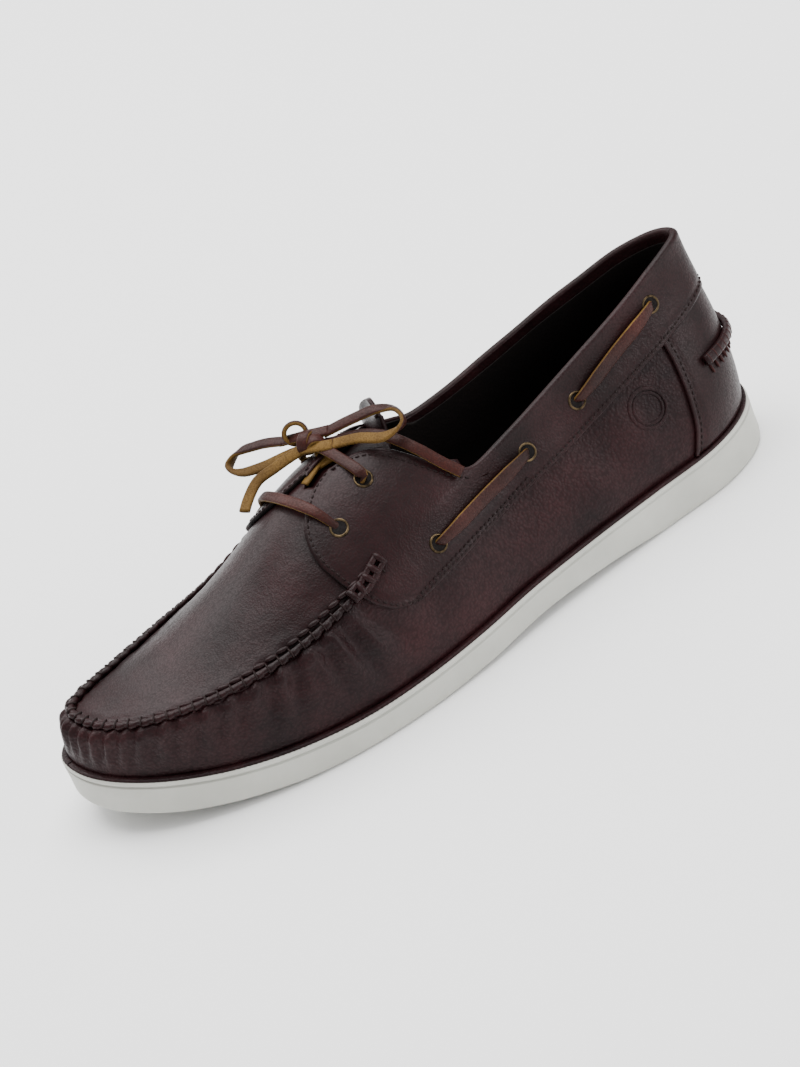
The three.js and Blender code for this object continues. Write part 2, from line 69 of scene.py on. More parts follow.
data = bpy.data.cameras.new("camera")
data.sensor_fit = "HORIZONTAL"
data.sensor_width = 36
data.lens = LENS
camera = bpy.data.objects.new("camera", data)
bpy.context.scene.collection.objects.link(camera)
camera.location = EYE
look = Vector(AIM - EYE).to_track_quat("-Z", "Y")
camera.rotation_mode = "QUATERNION"
camera.rotation_quaternion = look @ Quaternion((0, 0, 1), -ROLL)
bpy.context.scene.camera = camera
print("camera at", [round(float(v), 3) for v in EYE])

# %% [markdown]
# ## Finishes
# Each finish is a node material. One small function adds a node, sets it and links it, and
# one turns a paint-chart colour into the linear values that a shader wants.


# %% Helpers for the finishes
def linear(code):
    """An sRGB hex colour as linear RGBA."""
    parts = [int(code[i:i + 2], 16) / 255 for i in (1, 3, 5)]
    return (*(p / 12.92 if p <= 0.04045 else ((p + 0.055) / 1.055) ** 2.4 for p in parts), 1)


def add(tree, kind, settings, inputs):
    """A new node with its settings, its input values and its links."""
    made = tree.nodes.new(kind)
    for name, value in settings.items():
        setattr(made, name, value)
    for name, value in inputs.items():
        if isinstance(value, bpy.types.NodeSocket):
            tree.links.new(value, made.inputs[name])
        else:
            made.inputs[name].default_value = value
    return made


def new_finish(name, roughness, metallic=0.0, ior=1.45):
    """An empty finish: its tree, its shader and the place on the object."""
    made = bpy.data.materials.new(name)
    made.use_nodes = True
    tree = made.node_tree
    shader = tree.nodes["Principled BSDF"]
    shader.inputs["Roughness"].default_value = roughness
    shader.inputs["Metallic"].default_value = metallic
    if not metallic:
        shader.inputs["IOR"].default_value = ior
    place = add(tree, "ShaderNodeTexCoord", {}, {}).outputs["Object"]
    return made, tree, shader, place


def clouds(tree, place, size, detail=3.0):
    """Soft cloudy noise whose patches are about this many mm across."""
    inputs = {"Vector": place, "Scale": 1 / (size * MM), "Detail": detail, "Roughness": 0.6}
    return add(tree, "ShaderNodeTexNoise", {}, inputs).outputs[0]


def between(tree, factor, first, second):
    """A colour that goes from the first hex to the second as the factor goes from 0 to 1."""
    inputs = {0: factor, 6: linear(first), 7: linear(second)}
    return add(tree, "ShaderNodeMix", {"data_type": "RGBA"}, inputs).outputs[2]


def ramp(tree, value, low, high, start=0.0, end=1.0):
    """Stretches a value from low..high to start..end, and keeps it inside."""
    inputs = {"Value": value, 1: low, 2: high, 3: start, 4: end}
    return add(tree, "ShaderNodeMapRange", {}, inputs).outputs[0]


def bump(tree, height, depth, under=None):
    """Bumps of this many mm, laid over other bumps if there are any."""
    inputs = {"Height": height, "Distance": depth * MM, "Strength": 1.0}
    if under is not None:
        inputs["Normal"] = under
    return add(tree, "ShaderNodeBump", {}, inputs).outputs[0]


# %% [markdown]
# ## Leather
# Full-grain leather is dyed through and waxed. Its grain is a net of small pebbles, finer and
# flatter where the skin was stretched over the last. Dye takes unevenly, so the colour has
# slow clouds. The hollows between the pebbles are duller, and painted shade darkens them.


# %% Leather finishes
def leather(name, deep, light, pebble, depth, roughness):
    """Dyed leather: pebble is the grain's width in mm, depth its height in mm."""
    made, tree, shader, place = new_finish(name, roughness, ior=1.46)
    patches = ramp(tree, clouds(tree, place, 30, 4), 0.35, 0.68)
    sway = add(tree, "ShaderNodeTexNoise", {}, {"Vector": place, "Scale": 1 / (3 * pebble * MM)})
    bent = add(tree, "ShaderNodeVectorMath", {"operation": "MULTIPLY_ADD"},
               {0: sway.outputs[1], 1: (1.2 * pebble * MM,) * 3, 2: place}).outputs[0]
    net = add(tree, "ShaderNodeTexVoronoi", {"feature": "SMOOTH_F1"},
              {"Vector": bent, "Scale": 1 / (pebble * MM), "Smoothness": 0.4})
    hollow = ramp(tree, net.outputs[0], 0.2, 0.75)
    colour = between(tree, patches, deep, light)
    # Painted shade: the colour is multiplied darker in the hollows between the pebbles.
    shade = add(tree, "ShaderNodeMix", {"data_type": "RGBA", "blend_type": "MULTIPLY"},
                {0: ramp(tree, hollow, 0, 1, 0, 0.5), 6: colour, 7: linear("#8c7a76")})
    tree.links.new(shade.outputs[2], shader.inputs["Base Color"])
    dull = ramp(tree, hollow, 0, 1, roughness - 0.05, roughness + 0.12)
    tree.links.new(dull, shader.inputs["Roughness"])
    raised = ramp(tree, hollow, 0, 1, 1, 0)
    grain = bump(tree, raised, depth)
    fine = bump(tree, clouds(tree, place, 0.35, 2), depth * 0.5, grain)
    tree.links.new(bump(tree, clouds(tree, place, 7, 3), 0.25, fine), shader.inputs["Normal"])
    shader.inputs["Specular IOR Level"].default_value = 0.17
    return made


# Pebbled oxblood: each pebble catches its own small highlight, so the quarter looks soft.
QUARTER_LEATHER = leather("oxblood_pebbled_leather", "#18080a", "#2e1517", 1.1, 0.11, 0.42)
# The same hide stretched smooth: one broad glow with faint grain.
APRON_LEATHER = leather("oxblood_smooth_leather", "#180809", "#2a1315", 0.8, 0.04, 0.36)
# Unwaxed dark lining: dull, so the inside reads as a deep hollow.
# The same near-black finish is painted shade too: the dark discs in the eyelets' holes, and partly
# the saddle's cut edges.
LINING_AND_SHADE_LEATHER = leather("dark_lining_and_painted_shade_leather", "#0b0706", "#130c0b", 0.9, 0.05, 0.7)
# Dyed and waxed side of the lace: red-brown with a slight shine.
LACE_GRAIN = leather("waxed_lace_leather", "#220e0b", "#3f1c16", 0.7, 0.05, 0.42)
# Raw side and cut edges of the lace: undyed tan, dry and fibrous.
LACE_FLESH = leather("raw_lace_edge_leather", "#4d3613", "#765a2a", 0.5, 0.06, 0.65)

# %% [markdown]
# ## The lace as a flat strip
# The lace is rawhide cut flat: waxed red-brown on its grain side, and raw tan on its edges and
# back. A strip like that bends easily one way and hardly the other, so its wide side stays
# square to each bend. It is made from a grid rolled into a tube, whose rows follow a line.

# %% Values of the lace
LACE_WIDE = 4.4
LACE_THICK = 1.9
GRAIN_SHARE = 0.36         # share of the section that shows the waxed grain side


def smooth(knots, values, at):
    """A smooth line through a table's values, which never swings far past them."""
    knots, values, at = (np.asarray(a, float) for a in (knots, values, at))
    slope = np.diff(values) / np.diff(knots)
    gap = np.diff(knots)
    lean = np.empty(len(knots))
    lean[1:-1] = (slope[:-1] * gap[1:] + slope[1:] * gap[:-1]) / (knots[2:] - knots[:-2])
    lean[0] = 1.5 * slope[0] - 0.5 * lean[1]
    lean[-1] = 1.5 * slope[-1] - 0.5 * lean[-2]
    i = np.clip(np.searchsorted(knots, at, side="right") - 1, 0, len(knots) - 2)
    h = knots[i + 1] - knots[i]
    t = (at - knots[i]) / h
    return ((2 * t**3 - 3 * t**2 + 1) * values[i] + (t**3 - 2 * t**2 + t) * h * lean[i]
            + (3 * t**2 - 2 * t**3) * values[i + 1] + (t**3 - t**2) * h * lean[i + 1])


def run_of(points):
    """How far along a line each of its points lies."""
    steps = np.linalg.norm(np.diff(points, axis=0), axis=1)
    return np.r_[0, np.cumsum(steps)]


def even_line(points, count):
    """A smooth line through a few points, cut into equal steps."""
    points = np.asarray(points, float)
    run = run_of(points)
    dense = np.linspace(0, run[-1], 30 * len(points))
    fine = np.stack([smooth(run, column, dense) for column in points.T], -1)
    run = run_of(fine)
    at = np.linspace(0, run[-1], count)
    return np.stack([np.interp(at, run, column) for column in fine.T], -1)


def unit(vectors):
    return vectors / (np.linalg.norm(vectors, axis=-1, keepdims=True) + 1e-12)


def keep(bm, name, *finishes, weld=0.01):
    """Welds doubles, hangs the mesh on an object with its finishes, and lets it ride."""
    bmesh.ops.remove_doubles(bm, verts=bm.verts, dist=weld * MM)
    mesh = bpy.data.meshes.new(name)
    bm.to_mesh(mesh)
    bm.free()
    mesh.shade_smooth()
    piece = bpy.data.objects.new(name, mesh)
    bpy.context.scene.collection.objects.link(piece)
    for finish in finishes:
        mesh.materials.append(finish)
    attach(piece, "root")
    print(f"{name}: {len(mesh.polygons)} faces")
    return piece


def grid(bm, columns, rows, place):
    """A flat grid whose corners run 0 to 1 both ways, with each point moved to its place."""
    fresh = bmesh.ops.create_grid(bm, x_segments=columns, y_segments=rows, size=0.5)["verts"]
    flat = np.clip(np.array([v.co[:2] for v in fresh]) + 0.5, 0, 1)
    for vert, point in zip(fresh, place(flat[:, 0], flat[:, 1])):
        vert.co = point
    return fresh


def one_finish(bm, index=0):
    """Gives every face of a mesh the same one of its piece's finishes."""
    for face in bm.faces:
        face.material_index = index


def finish_around(verts, index):
    """Gives the faces at some corners one of their piece's finishes."""
    for face in {f for v in verts for f in v.link_faces}:
        face.material_index = index


def frames(line, face):
    """Directions along a line, across it and out of its face."""
    ahead = unit(np.gradient(line, axis=0))
    face = np.broadcast_to(np.asarray(face, float), line.shape)
    side = unit(np.cross(ahead, face))
    return ahead, side, np.cross(side, ahead)


SECTION_SIDES = 16
FLAT_SIDES = (0.55, 0.75)  # under 1, the section is flatter on its sides and squarer at its corners


def strip(bm, line, face, wide=LACE_WIDE, thick=LACE_THICK):
    """A flat strip along a line in mm. face is the way its grain side looks."""
    line = np.asarray(line, float)
    _, side, out = frames(line, face)
    steps = np.linspace(0, 1, len(line))
    widths = np.broadcast_to(np.asarray(wide, float), len(line))

    def place(u, v):
        turn = 2 * math.pi * u
        at = np.clip(v, 0, 1)
        wide_here = np.interp(at, steps, widths)
        x = np.sign(np.cos(turn)) * np.abs(np.cos(turn)) ** FLAT_SIDES[0] * wide_here / 2
        z = np.sign(np.sin(turn)) * np.abs(np.sin(turn)) ** FLAT_SIDES[1] * thick / 2
        middle = np.stack([np.interp(at, steps, c) for c in line.T], -1)
        across = np.stack([np.interp(at, steps, c) for c in side.T], -1)
        up = np.stack([np.interp(at, steps, c) for c in out.T], -1)
        return to_row(middle + across * x[:, None] + up * z[:, None])

    flat = bmesh.ops.create_grid(bm, x_segments=SECTION_SIDES, y_segments=len(line) - 1, size=0.5)
    for face_made in {f for v in flat["verts"] for f in v.link_faces}:
        share = face_made.calc_center_median().x + 0.5
        face_made.material_index = 0 if abs(share - 0.25) < GRAIN_SHARE / 2 else 1
    flat_places = np.array([v.co[:2] for v in flat["verts"]]) + 0.5
    for vert, point in zip(flat["verts"], place(flat_places[:, 0], flat_places[:, 1])):
        vert.co = point
    bmesh.ops.remove_doubles(bm, verts=flat["verts"], dist=0.001 * MM)
    edges = [e for e in bm.edges if e.is_boundary]
    bmesh.ops.holes_fill(bm, edges=edges, sides=0)
    return bm


def lace(name, line, face, **sizes):
    """One lace piece with its grain and its raw edges."""
    bm = strip(bmesh.new(), line, face, **sizes)
    bmesh.ops.recalc_face_normals(bm, faces=bm.faces)
    return keep(bm, name, LACE_GRAIN, LACE_FLESH)


# %% [markdown]
# ## The bow
# Two loops and two ends leave a small knot over the throat. Their routes are the solid
# model's own, so the lace lies where its solids are. Each is a short free cord of leather.

# %% The bow's routes, in mm on the last
KNOT = np.array([164.5, -7.0, 86.6])
BOW = {
    "lace_loop_front": [
        [169.5, -16.8, 87], [177.6, -29, 85], [184.5, -36, 82], [188.6, -35, 80],
        [187.5, -26.5, 80], [181, -19, 81.5], [174, -13.8, 83.5]],
    "lace_loop_back": [
        [157.8, -4.6, 88.4], [147.3, 1.7, 91], [138.8, 6.9, 92.2], [134.4, 14.5, 92],
        [136.1, 21.8, 90], [142.6, 20.5, 88.3], [151.5, 9, 87.5], [160.6, 2.2, 87]],
    "lace_end_front": [
        [171, -8.6, 85], [178.5, -10.8, 83], [186.2, -13.3, 80.5],
        [192.9, -10.6, 77.5], [196.8, -7.7, 75.5]],
    "lace_end_back": [
        [158.2, -1, 85.2], [150, 4, 85.8], [142.5, 13.5, 85],
        [136, 24.5, 79.5], [130.3, 30.2, 71.5], [126.2, 33.8, 66.5]],
}
END_FACE = {"lace_end_front": (-0.35, -0.5, -1), "lace_end_back": (0.1, 0.7, 0.7)}
LACE_STEPS = 40
TOWARDS_LIGHT = np.array([0.1, 0.5, 1.0])


def loop_face(line):
    """A loop's grain side looks up at first, outwards at its bend, and down on the way back."""
    ahead = unit(np.gradient(line, axis=0))
    outwards_flat = line - (line[0] + line[-1]) / 2
    outwards_flat = unit(outwards_flat * (1, 1, 0))
    share = np.linspace(0, 1, len(line))
    turn = np.pi * smooth([0, 0.3, 0.5, 0.7, 1], [0.04, 0.12, 0.5, 0.86, 0.95], share)
    face = np.cos(turn)[:, None] * unit(TOWARDS_LIGHT) + np.sin(turn)[:, None] * outwards_flat
    return face - ahead * np.sum(face * ahead, axis=1, keepdims=True)


# %% [markdown]
# The knot is the lace itself: both loops and both ends run on through it, one turn is wrapped
# over them, and the last of it stands as a small open eye beside the wrap.


# %% The knot
WRAP_STEPS = 26


def wrap(bm, centre, axis, radii, start, end, shift=0.0, wide=LACE_WIDE):
    """A strip that goes round an axis, from one angle to another in degrees."""
    axis = unit(np.asarray(axis, float))
    first = unit(np.cross(axis, (0, 0, 1.0)))
    second = np.cross(first, axis)
    turn = np.radians(np.linspace(start, end, WRAP_STEPS))[:, None]
    ring = first * np.cos(turn) * radii[0] + second * np.sin(turn) * radii[1]
    line = centre + ring + axis * shift * np.linspace(-0.5, 0.5, WRAP_STEPS)[:, None]
    return strip(bm, line, ring, wide=wide)


bow_axis = np.array([0.62, -0.75, 0.0])
knot_mesh = bmesh.new()
wrap(knot_mesh, KNOT + (0, -0.5, 0.4), bow_axis, (3.9, 3.7), 0, 330, 1.5, wide=4.6)
wrap(knot_mesh, KNOT + (-1.6, 3.4, -0.2), (0.3, 0.9, -0.2), (3.1, 3.0), 20, 300, 1.5)
wrap(knot_mesh, KNOT + (1.2, -6.4, 3.0), (0.3, 0.83, 0.45), (4.2, 3.9), -80, 255, 2.0, wide=3.8)
THROUGH = [
    # the way the grain side looks, and the route
    ((0.1, 0.5, 1), [[170.6, -18.8, 86.7], [167.5, -13.5, 88.2], [163.5, -8.0, 89.6],
                     [159.8, -5.6, 89.4], [155.8, -3.6, 89.0]]),
    ((-0.1, -0.5, -1), [[175.8, -15.0, 82.9], [170, -10.5, 84.6], [165.5, -3.5, 86.8],
                        [161.8, 1.2, 87.3], [158.8, 4.0, 87.3]]),
    ((-0.35, -0.5, -1), [[173.5, -9.2, 84.4], [169.5, -7.5, 85.6], [165.5, -6.5, 86.2]]),
    ((0.1, 0.7, 0.7), [[156.2, -0.2, 85.3], [160, -3.0, 85.4], [163.5, -5.5, 86]]),
]
for face, route in THROUGH:
    strip(knot_mesh, even_line(route, 16), face)
bmesh.ops.recalc_face_normals(knot_mesh, faces=knot_mesh.faces)
knot = keep(knot_mesh, "bow_knot", LACE_GRAIN, LACE_FLESH)
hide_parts("lace_knot")

for node_name, route in BOW.items():
    line = even_line(route, LACE_STEPS)
    face = loop_face(line) if "loop" in node_name else END_FACE[node_name]
    piece = lace(node_name.replace("lace", "bow"), line, face)
    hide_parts(node_name)

# %% [markdown]
# ## The last
# A last is the foot-shaped form that a shoe is built on. Here a table of breadths and heights
# along the sole and another along the shoulder describe it. Three numbers place a point:
# *around* (0 at the heel, 1 at the toe by the outer side, 2 at the heel again by the inner
# side), *up* (0 at the sole, 1 at the shoulder, 2 in the middle of the top) and a lift.


# %% The last's tables, in mm
def table(names, rows):
    return dict(zip(names.split(), np.array(rows, float).T))


SOLE = table("x outer inner under top", [
    [0, 0, 0, 0, 18],
    [10, 23.5, -22.5, 0, 17.9],
    [30, 34, -32, 0, 17.5],
    [60, 38, -32, 0, 17],
    [90, 41.8, -27.8, 2.4, 16.3],
    [120, 46.5, -24.2, 3, 15.3],
    [150, 53, -28.5, 1, 13.8],
    [175, 56.5, -37.2, 0, 12.8],
    [200, 57.5, -44.2, 0, 12.6],
    [225, 55, -44.2, 0.4, 13.9],
    [250, 48.5, -40, 2.6, 16.6],
    [270, 39.8, -32.8, 5.4, 20.2],
    [286, 28.8, -23.4, 8.8, 24],
    [300, 0, 0, 12.5, 28],
])
SHOULDER = table("x outer inner z drop crown reach fall swell", [
    [3.5, 0, 0, 88.5, 0, 0, 0.10, 0.35, 0.09],
    [12, 6.5, -10.5, 87, 0, 5, 0.10, 0.35, 0.08],
    [22, 9.5, -15.5, 84.5, 0, 8, 0.10, 0.35, 0.07],
    [40, 13.5, -20, 79.5, 0, 10, 0.10, 0.35, 0.05],
    [60, 17.5, -23, 74.8, 0, 10, 0.10, 0.35, 0.05],
    [85, 22, -24.5, 69, 0, 12, 0.12, 0.35, 0.05],
    [112, 27, -25, 63.5, -1, 16, 0.15, 0.30, 0.05],
    [140, 35, -26.5, 60, -3, 22, 0.25, 0.25, 0.04],
    [165, 40.5, -28.5, 55.5, -4, 24.5, 0.40, 0.15, 0.03],
    [190, 44.5, -29, 50, -2.5, 23, 0.50, 0.10, 0.02],
    [215, 45.5, -28.5, 45.5, 1, 17, 0.55, 0.05, 0.02],
    [240, 42.5, -25.5, 43.5, 2, 10, 0.60, 0, 0.02],
    [262, 35, -19.5, 43, 2, 5, 0.60, 0, 0.02],
    [280, 22.5, -11.5, 43.5, 1, 1.5, 0.60, 0, 0.02],
    [288.5, 0, 0, 44, 0, 0, 0.60, 0, 0.02],
])
LENGTH = 300
FEATHER = 3.0              # how far the upper stands in from the sole's edge
HALF_WIDTH = 52            # the sole's half width, over which an inset is shared out
FOOT_GAP = 0.3             # between the sole's top and the last's foot


# %% The last's surface
def turn_at(columns, x):
    """Turn from heel (0) to toe (1) of a place along the shoe."""
    first, last = columns["x"][0], columns["x"][-1]
    share = (np.asarray(x, float) - first) / (last - first)
    return np.arccos(np.clip(1 - 2 * share, -1, 1)) / math.pi


def look_up(columns, name, turn):
    return smooth(turn_at(columns, columns["x"]), columns[name], turn)


def x_at(columns, turn):
    """Place along the shoe of a turn."""
    first, last = columns["x"][0], columns["x"][-1]
    return first + (last - first) * (1 - np.cos(math.pi * turn)) / 2


def half(around):
    """Turn from heel to toe, and whether it is the outer half."""
    around = np.mod(around, 2.0)
    outer = around <= 1
    return np.where(outer, around, 2 - around), outer


def sole_edge(around, inset):
    """The sole's outline in plan, an inset inside its edge."""
    turn, outer = half(around)
    x = LENGTH / 2 + (x_at(SOLE, turn) - LENGTH / 2) * (1 - 2 * inset / LENGTH)
    y = np.where(outer, look_up(SOLE, "outer", turn), look_up(SOLE, "inner", turn))
    return x, y * (1 - inset / HALF_WIDTH)


def sole_top(x):
    return look_up(SOLE, "top", turn_at(SOLE, x))


def sole_under(x):
    return np.maximum(look_up(SOLE, "under", turn_at(SOLE, x)), 0)


def crown_point(turn, across):
    """Top of the last; across is 1 at the outer shoulder and -1 at the inner one."""
    outer = look_up(SHOULDER, "outer", turn)
    inner = look_up(SHOULDER, "inner", turn)
    arch = look_up(SHOULDER, "crown", turn) * (1 - across * across)
    y = (outer + inner) / 2 + across * (outer - inner) / 2
    z = look_up(SHOULDER, "z", turn) - look_up(SHOULDER, "drop", turn) * (1 - across) / 2 + arch
    return np.stack([x_at(SHOULDER, turn) + 0 * y, y, z], -1)


def wall_point(around, up):
    """Wall of the last, from the sole to the shoulder."""
    around, up = np.broadcast_arrays(np.asarray(around, float), np.asarray(up, float))
    turn, outer = half(around)
    x, y = sole_edge(around, FEATHER)
    foot = np.stack([x, y, sole_top(x) + FOOT_GAP], -1)
    shoulder = crown_point(turn, np.where(outer, 1.0, -1.0))
    height = shoulder[..., 2] - foot[..., 2]
    x1, y1 = sole_edge(around + 0.001, FEATHER)
    x0, y0 = sole_edge(around - 0.001, FEATHER)
    outwards = unit(np.stack([y0 - y1, x1 - x0], -1))
    swell = (look_up(SHOULDER, "swell", turn) * height)[..., None]
    low = foot + np.concatenate([outwards * swell, (0.4 * height)[..., None]], -1)
    lean = (foot - shoulder) * look_up(SHOULDER, "reach", turn)[..., None]
    lean[..., 2] = -look_up(SHOULDER, "fall", turn) * height
    high = shoulder + lean
    t = up[..., None]
    return ((1 - t)**3 * foot + 3 * (1 - t)**2 * t * low + 3 * (1 - t) * t * t * high
            + t**3 * shoulder)


def last_point(around, up):
    around, up = np.broadcast_arrays(np.asarray(around, float), np.asarray(up, float))
    turn, outer = half(around)
    across = np.where(outer, 1, -1) * (2 - np.clip(up, 1, 2))
    low = wall_point(around, np.clip(up, 0, 1))
    return np.where((up <= 1)[..., None], low, crown_point(turn, across))


def facing(around, up):
    """The way out of the last at a place."""
    step = 0.004
    ahead = last_point(around + step, up) - last_point(around - step, up)
    above, below = np.minimum(up + step, 2), np.maximum(up - step, 0)
    climb = last_point(around, above) - last_point(around, below)
    return unit(np.cross(climb, ahead))


print("foot of the last half way:", last_point(np.array([0.5]), np.array([0.0]))[0].round(1))

# %% [markdown]
# ## Creases, pleats and puckers
# Leather that was lasted and walked in shows it: soft pleats under the toe seam where the
# wall is gathered, longer creases where the foot bends, and small puckers at each stitch of
# the seam. Each crease is a row of its own: where it starts, where it ends, how deep it is
# and how wide. It becomes a trough with a low ridge on each side.

# %% The creases: places on the last, and depth and width in mm
PLEATS = table("around up end_around end_up depth width", [
    [0.985, 0.96, 0.985, 0.30, 0.9, 1.6],
    [0.960, 0.96, 0.958, 0.28, 1.0, 1.6],
    [0.937, 0.96, 0.935, 0.24, 1.0, 1.7],
    [0.903, 0.96, 0.907, 0.22, 1.1, 1.8],
    [0.877, 0.96, 0.882, 0.20, 1.0, 1.9],
    [0.853, 0.96, 0.858, 0.20, 0.9, 2.0],
    [0.823, 0.96, 0.827, 0.22, 0.8, 2.2],
    [0.795, 0.96, 0.798, 0.24, 0.9, 2.3],
    [0.770, 0.96, 0.773, 0.22, 0.8, 2.3],
    [0.743, 0.96, 0.745, 0.22, 1.0, 2.4],
    [0.718, 0.96, 0.724, 0.24, 1.0, 2.4],
    [0.687, 0.96, 0.690, 0.28, 1.1, 2.6],
    [0.660, 0.96, 0.664, 0.26, 1.3, 2.6],
    [0.632, 0.92, 0.618, 0.27, 1.4, 2.7],
    [0.612, 0.90, 0.585, 0.18, 1.8, 3.0],
    [0.588, 0.72, 0.548, 0.28, 0.9, 4.0],
    [1.015, 0.96, 1.015, 0.30, 0.9, 1.6],
    [1.045, 0.96, 1.043, 0.26, 1.0, 1.7],
    [1.080, 0.96, 1.078, 0.24, 1.0, 1.8],
    [1.120, 0.96, 1.116, 0.22, 1.0, 1.9],
    [1.160, 0.96, 1.156, 0.22, 0.9, 2.1],
    [1.205, 0.96, 1.200, 0.24, 0.9, 2.2],
    [1.250, 0.96, 1.246, 0.24, 0.8, 2.4],
    [1.300, 0.96, 1.294, 0.26, 1.0, 2.5],
    [1.345, 0.96, 1.350, 0.26, 1.0, 2.6],
    [1.385, 0.90, 1.400, 0.22, 1.4, 2.9],
    [0.529, 0.40, 0.512, 0.12, 0.5, 6.0],
    [0.330, 0.55, 0.300, 0.10, 0.4, 7.0],
])
SEAM_START, SEAM_END = 0.557, 1.425    # around, where the toe seam starts and ends
SEAM_PITCH = 5.0                       # mm from stitch to stitch
CREASE_STEPS = 14
CREASE_REACH = 45                      # mm from a crease's middle within which it is felt
CREASE_GAIN = 1.05                     # all creases are this much deeper than in the table
PUCKER_START, PUCKER_END = 0.59, 1.42  # around, where the puckers come in and go out
WAVE_SIZE, WAVE_HEIGHT = 22, 0.5       # mm, the slow unevenness of every leather sheet

seam_around = np.linspace(SEAM_START, SEAM_END, 500)
seam_run = run_of(last_point(seam_around, np.ones(500)))
SEAM_COUNT = round(seam_run[-1] / SEAM_PITCH)
print("toe seam", round(seam_run[-1]), "mm,", SEAM_COUNT, "stitches")


def crease_lines():
    """Each crease's line on the last, with its depth and width."""
    lines = []
    for i in range(len(PLEATS["up"])):
        share = np.linspace(0, 1, CREASE_STEPS)
        around = PLEATS["around"][i] + share * (PLEATS["end_around"][i] - PLEATS["around"][i])
        up = PLEATS["up"][i] + share * (PLEATS["end_up"][i] - PLEATS["up"][i])
        lines.append((last_point(around, up), PLEATS["depth"][i], PLEATS["width"][i]))
    return lines


creases = crease_lines()


def relief(around, up, points):
    """How far leather stands above or below the last, in mm, for points on it."""
    height = np.zeros(len(points))
    for line, depth, width in creases:
        near = np.abs(points - line[CREASE_STEPS // 2]).max(axis=1) < CREASE_REACH
        gaps = np.linalg.norm(points[near][:, None] - line[None], axis=2)
        best = gaps.argmin(axis=1)
        away = gaps[np.arange(len(best)), best] / width
        fade = np.sin(math.pi * (0.18 + 0.74 * best / (CREASE_STEPS - 1))) ** 1.2
        height[near] += depth * fade * (0.75 * np.exp(-((away - 1.9) / 0.9) ** 2)
                                        - np.exp(-away**2)) * CREASE_GAIN
    run = np.interp(around, seam_around, seam_run, left=-1, right=-1)
    coming = np.clip((around - PUCKER_START) / 0.04, 0, 1)
    going = np.clip((PUCKER_END - around) / 0.03, 0, 1)
    in_seam = (run >= 0) * coming * going
    from_seam = np.linalg.norm(points - last_point(around, np.ones(len(around))), axis=1)
    beat = np.cos(2 * math.pi * run / SEAM_PITCH)
    below = up < 1
    pucker = 0.42 * beat * np.exp(-from_seam / 4.5)
    roll = 0.9 * np.exp(-((from_seam - 5.5) / 3.2) ** 2) - 1.1 * np.exp(-(from_seam / 2.2) ** 2)
    sunk = 0.12 * beat * np.exp(-from_seam / 3) - 0.9 * np.exp(-(from_seam / 3.0) ** 2)
    height += in_seam * np.where(below, pucker + roll, sunk)
    return height


def waves(points):
    """Slow unevenness of a soft sheet, in mm."""
    return np.array([noise.noise(Vector(p) / WAVE_SIZE) for p in points]) * WAVE_HEIGHT


def laid(around, up, lift):
    """A place on the last with its leather's relief and a lift, in the shared frame."""
    around, up = np.broadcast_arrays(np.asarray(around, float), np.asarray(up, float))
    shape = around.shape
    around, up = around.ravel(), up.ravel()
    points = last_point(around, up)
    tall = relief(around, up, points) + waves(points) + lift
    return to_row(points + facing(around, up) * tall[:, None]).reshape(*shape, 3)


# %% [markdown]
# ## The vamp and apron
# The wall of the shoe is one piece that rises from the sole all round, and the apron closes
# the top ahead of the throat. A grid rolled round the last makes the wall, and one more grid
# on each side makes the apron, with the throat left open. All are welded into one shell, and
# a Solidify modifier gives it the thickness of the leather.

# %% The upper's shell
COLLAR_END = 0.449         # turn where the collar's corner meets the throat
UPPER_THICK = 1.3
THROAT = table("x half", [
    [122, 24], [134, 20.5], [141, 16.5], [145, 8.5], [153, 5.5], [166, 6.5], [172, 6.0], [176, 0]])
WALL_STEPS = 520
WALL_ROWS = 42
APRON_ROWS = 20


def throat_share(turn):
    """How far the throat's edge is from the middle, as a share of the half width."""
    x = x_at(SHOULDER, turn)
    outer, inner = look_up(SHOULDER, "outer", turn), look_up(SHOULDER, "inner", turn)
    open_half = np.interp(x, THROAT["x"], THROAT["half"], right=0)
    return np.clip(open_half / np.maximum((outer - inner) / 2, 1), 0, 0.93)


def thicken(piece, thick):
    """Gives a sheet its thickness in mm, on its inner side."""
    wall = piece.modifiers.new("thickness", "SOLIDIFY")
    wall.thickness = thick * MM
    wall.offset = -1
    return piece


def outwards(bm, inside=(0, 0, 0.02)):
    """Turns a sheet's faces so that they look away from a point inside, in metres."""
    inside = Vector(inside)
    bm.normal_update()
    if sum(f.normal.dot(f.calc_center_median() - inside) for f in bm.faces) < 0:
        bmesh.ops.reverse_faces(bm, faces=bm.faces[:])


def shell(steps, rows, apron_rows, lift, place):
    """The whole upper as one open sheet, a lift above the last."""
    bm = bmesh.new()
    grid(bm, steps, rows, lambda u, v: place(2 * u, np.sin(v * math.pi / 2) ** 0.9, lift))
    ahead = round((1 - COLLAR_END) * steps / 2)
    first = 1 - ahead * 2 / steps
    for side in (1, -1):
        def top_place(u, v, side=side):
            turn = first + (1 - first) * u
            return place(turn if side > 0 else 2 - turn, 1 + (1 - throat_share(turn)) * v, lift)
        finish_around(grid(bm, ahead, apron_rows, top_place), 1)
    bmesh.ops.remove_doubles(bm, verts=bm.verts, dist=0.02 * MM)
    bmesh.ops.recalc_face_normals(bm, faces=bm.faces)
    outwards(bm)
    return bm


upper_mesh = shell(WALL_STEPS, WALL_ROWS, APRON_ROWS, 0.0, laid)
upper = keep(upper_mesh, "upper_shell", QUARTER_LEATHER, APRON_LEATHER)
thicken(upper, UPPER_THICK)
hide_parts("upper")


# %% The lining, a second and smoother sheet inside the first
LINING_SHARE = 0.94        # the lining stops this far up the collar's wall
LINING_LIFT = -1.7         # mm, inside the upper's leather
LINING_THICK = 0.5


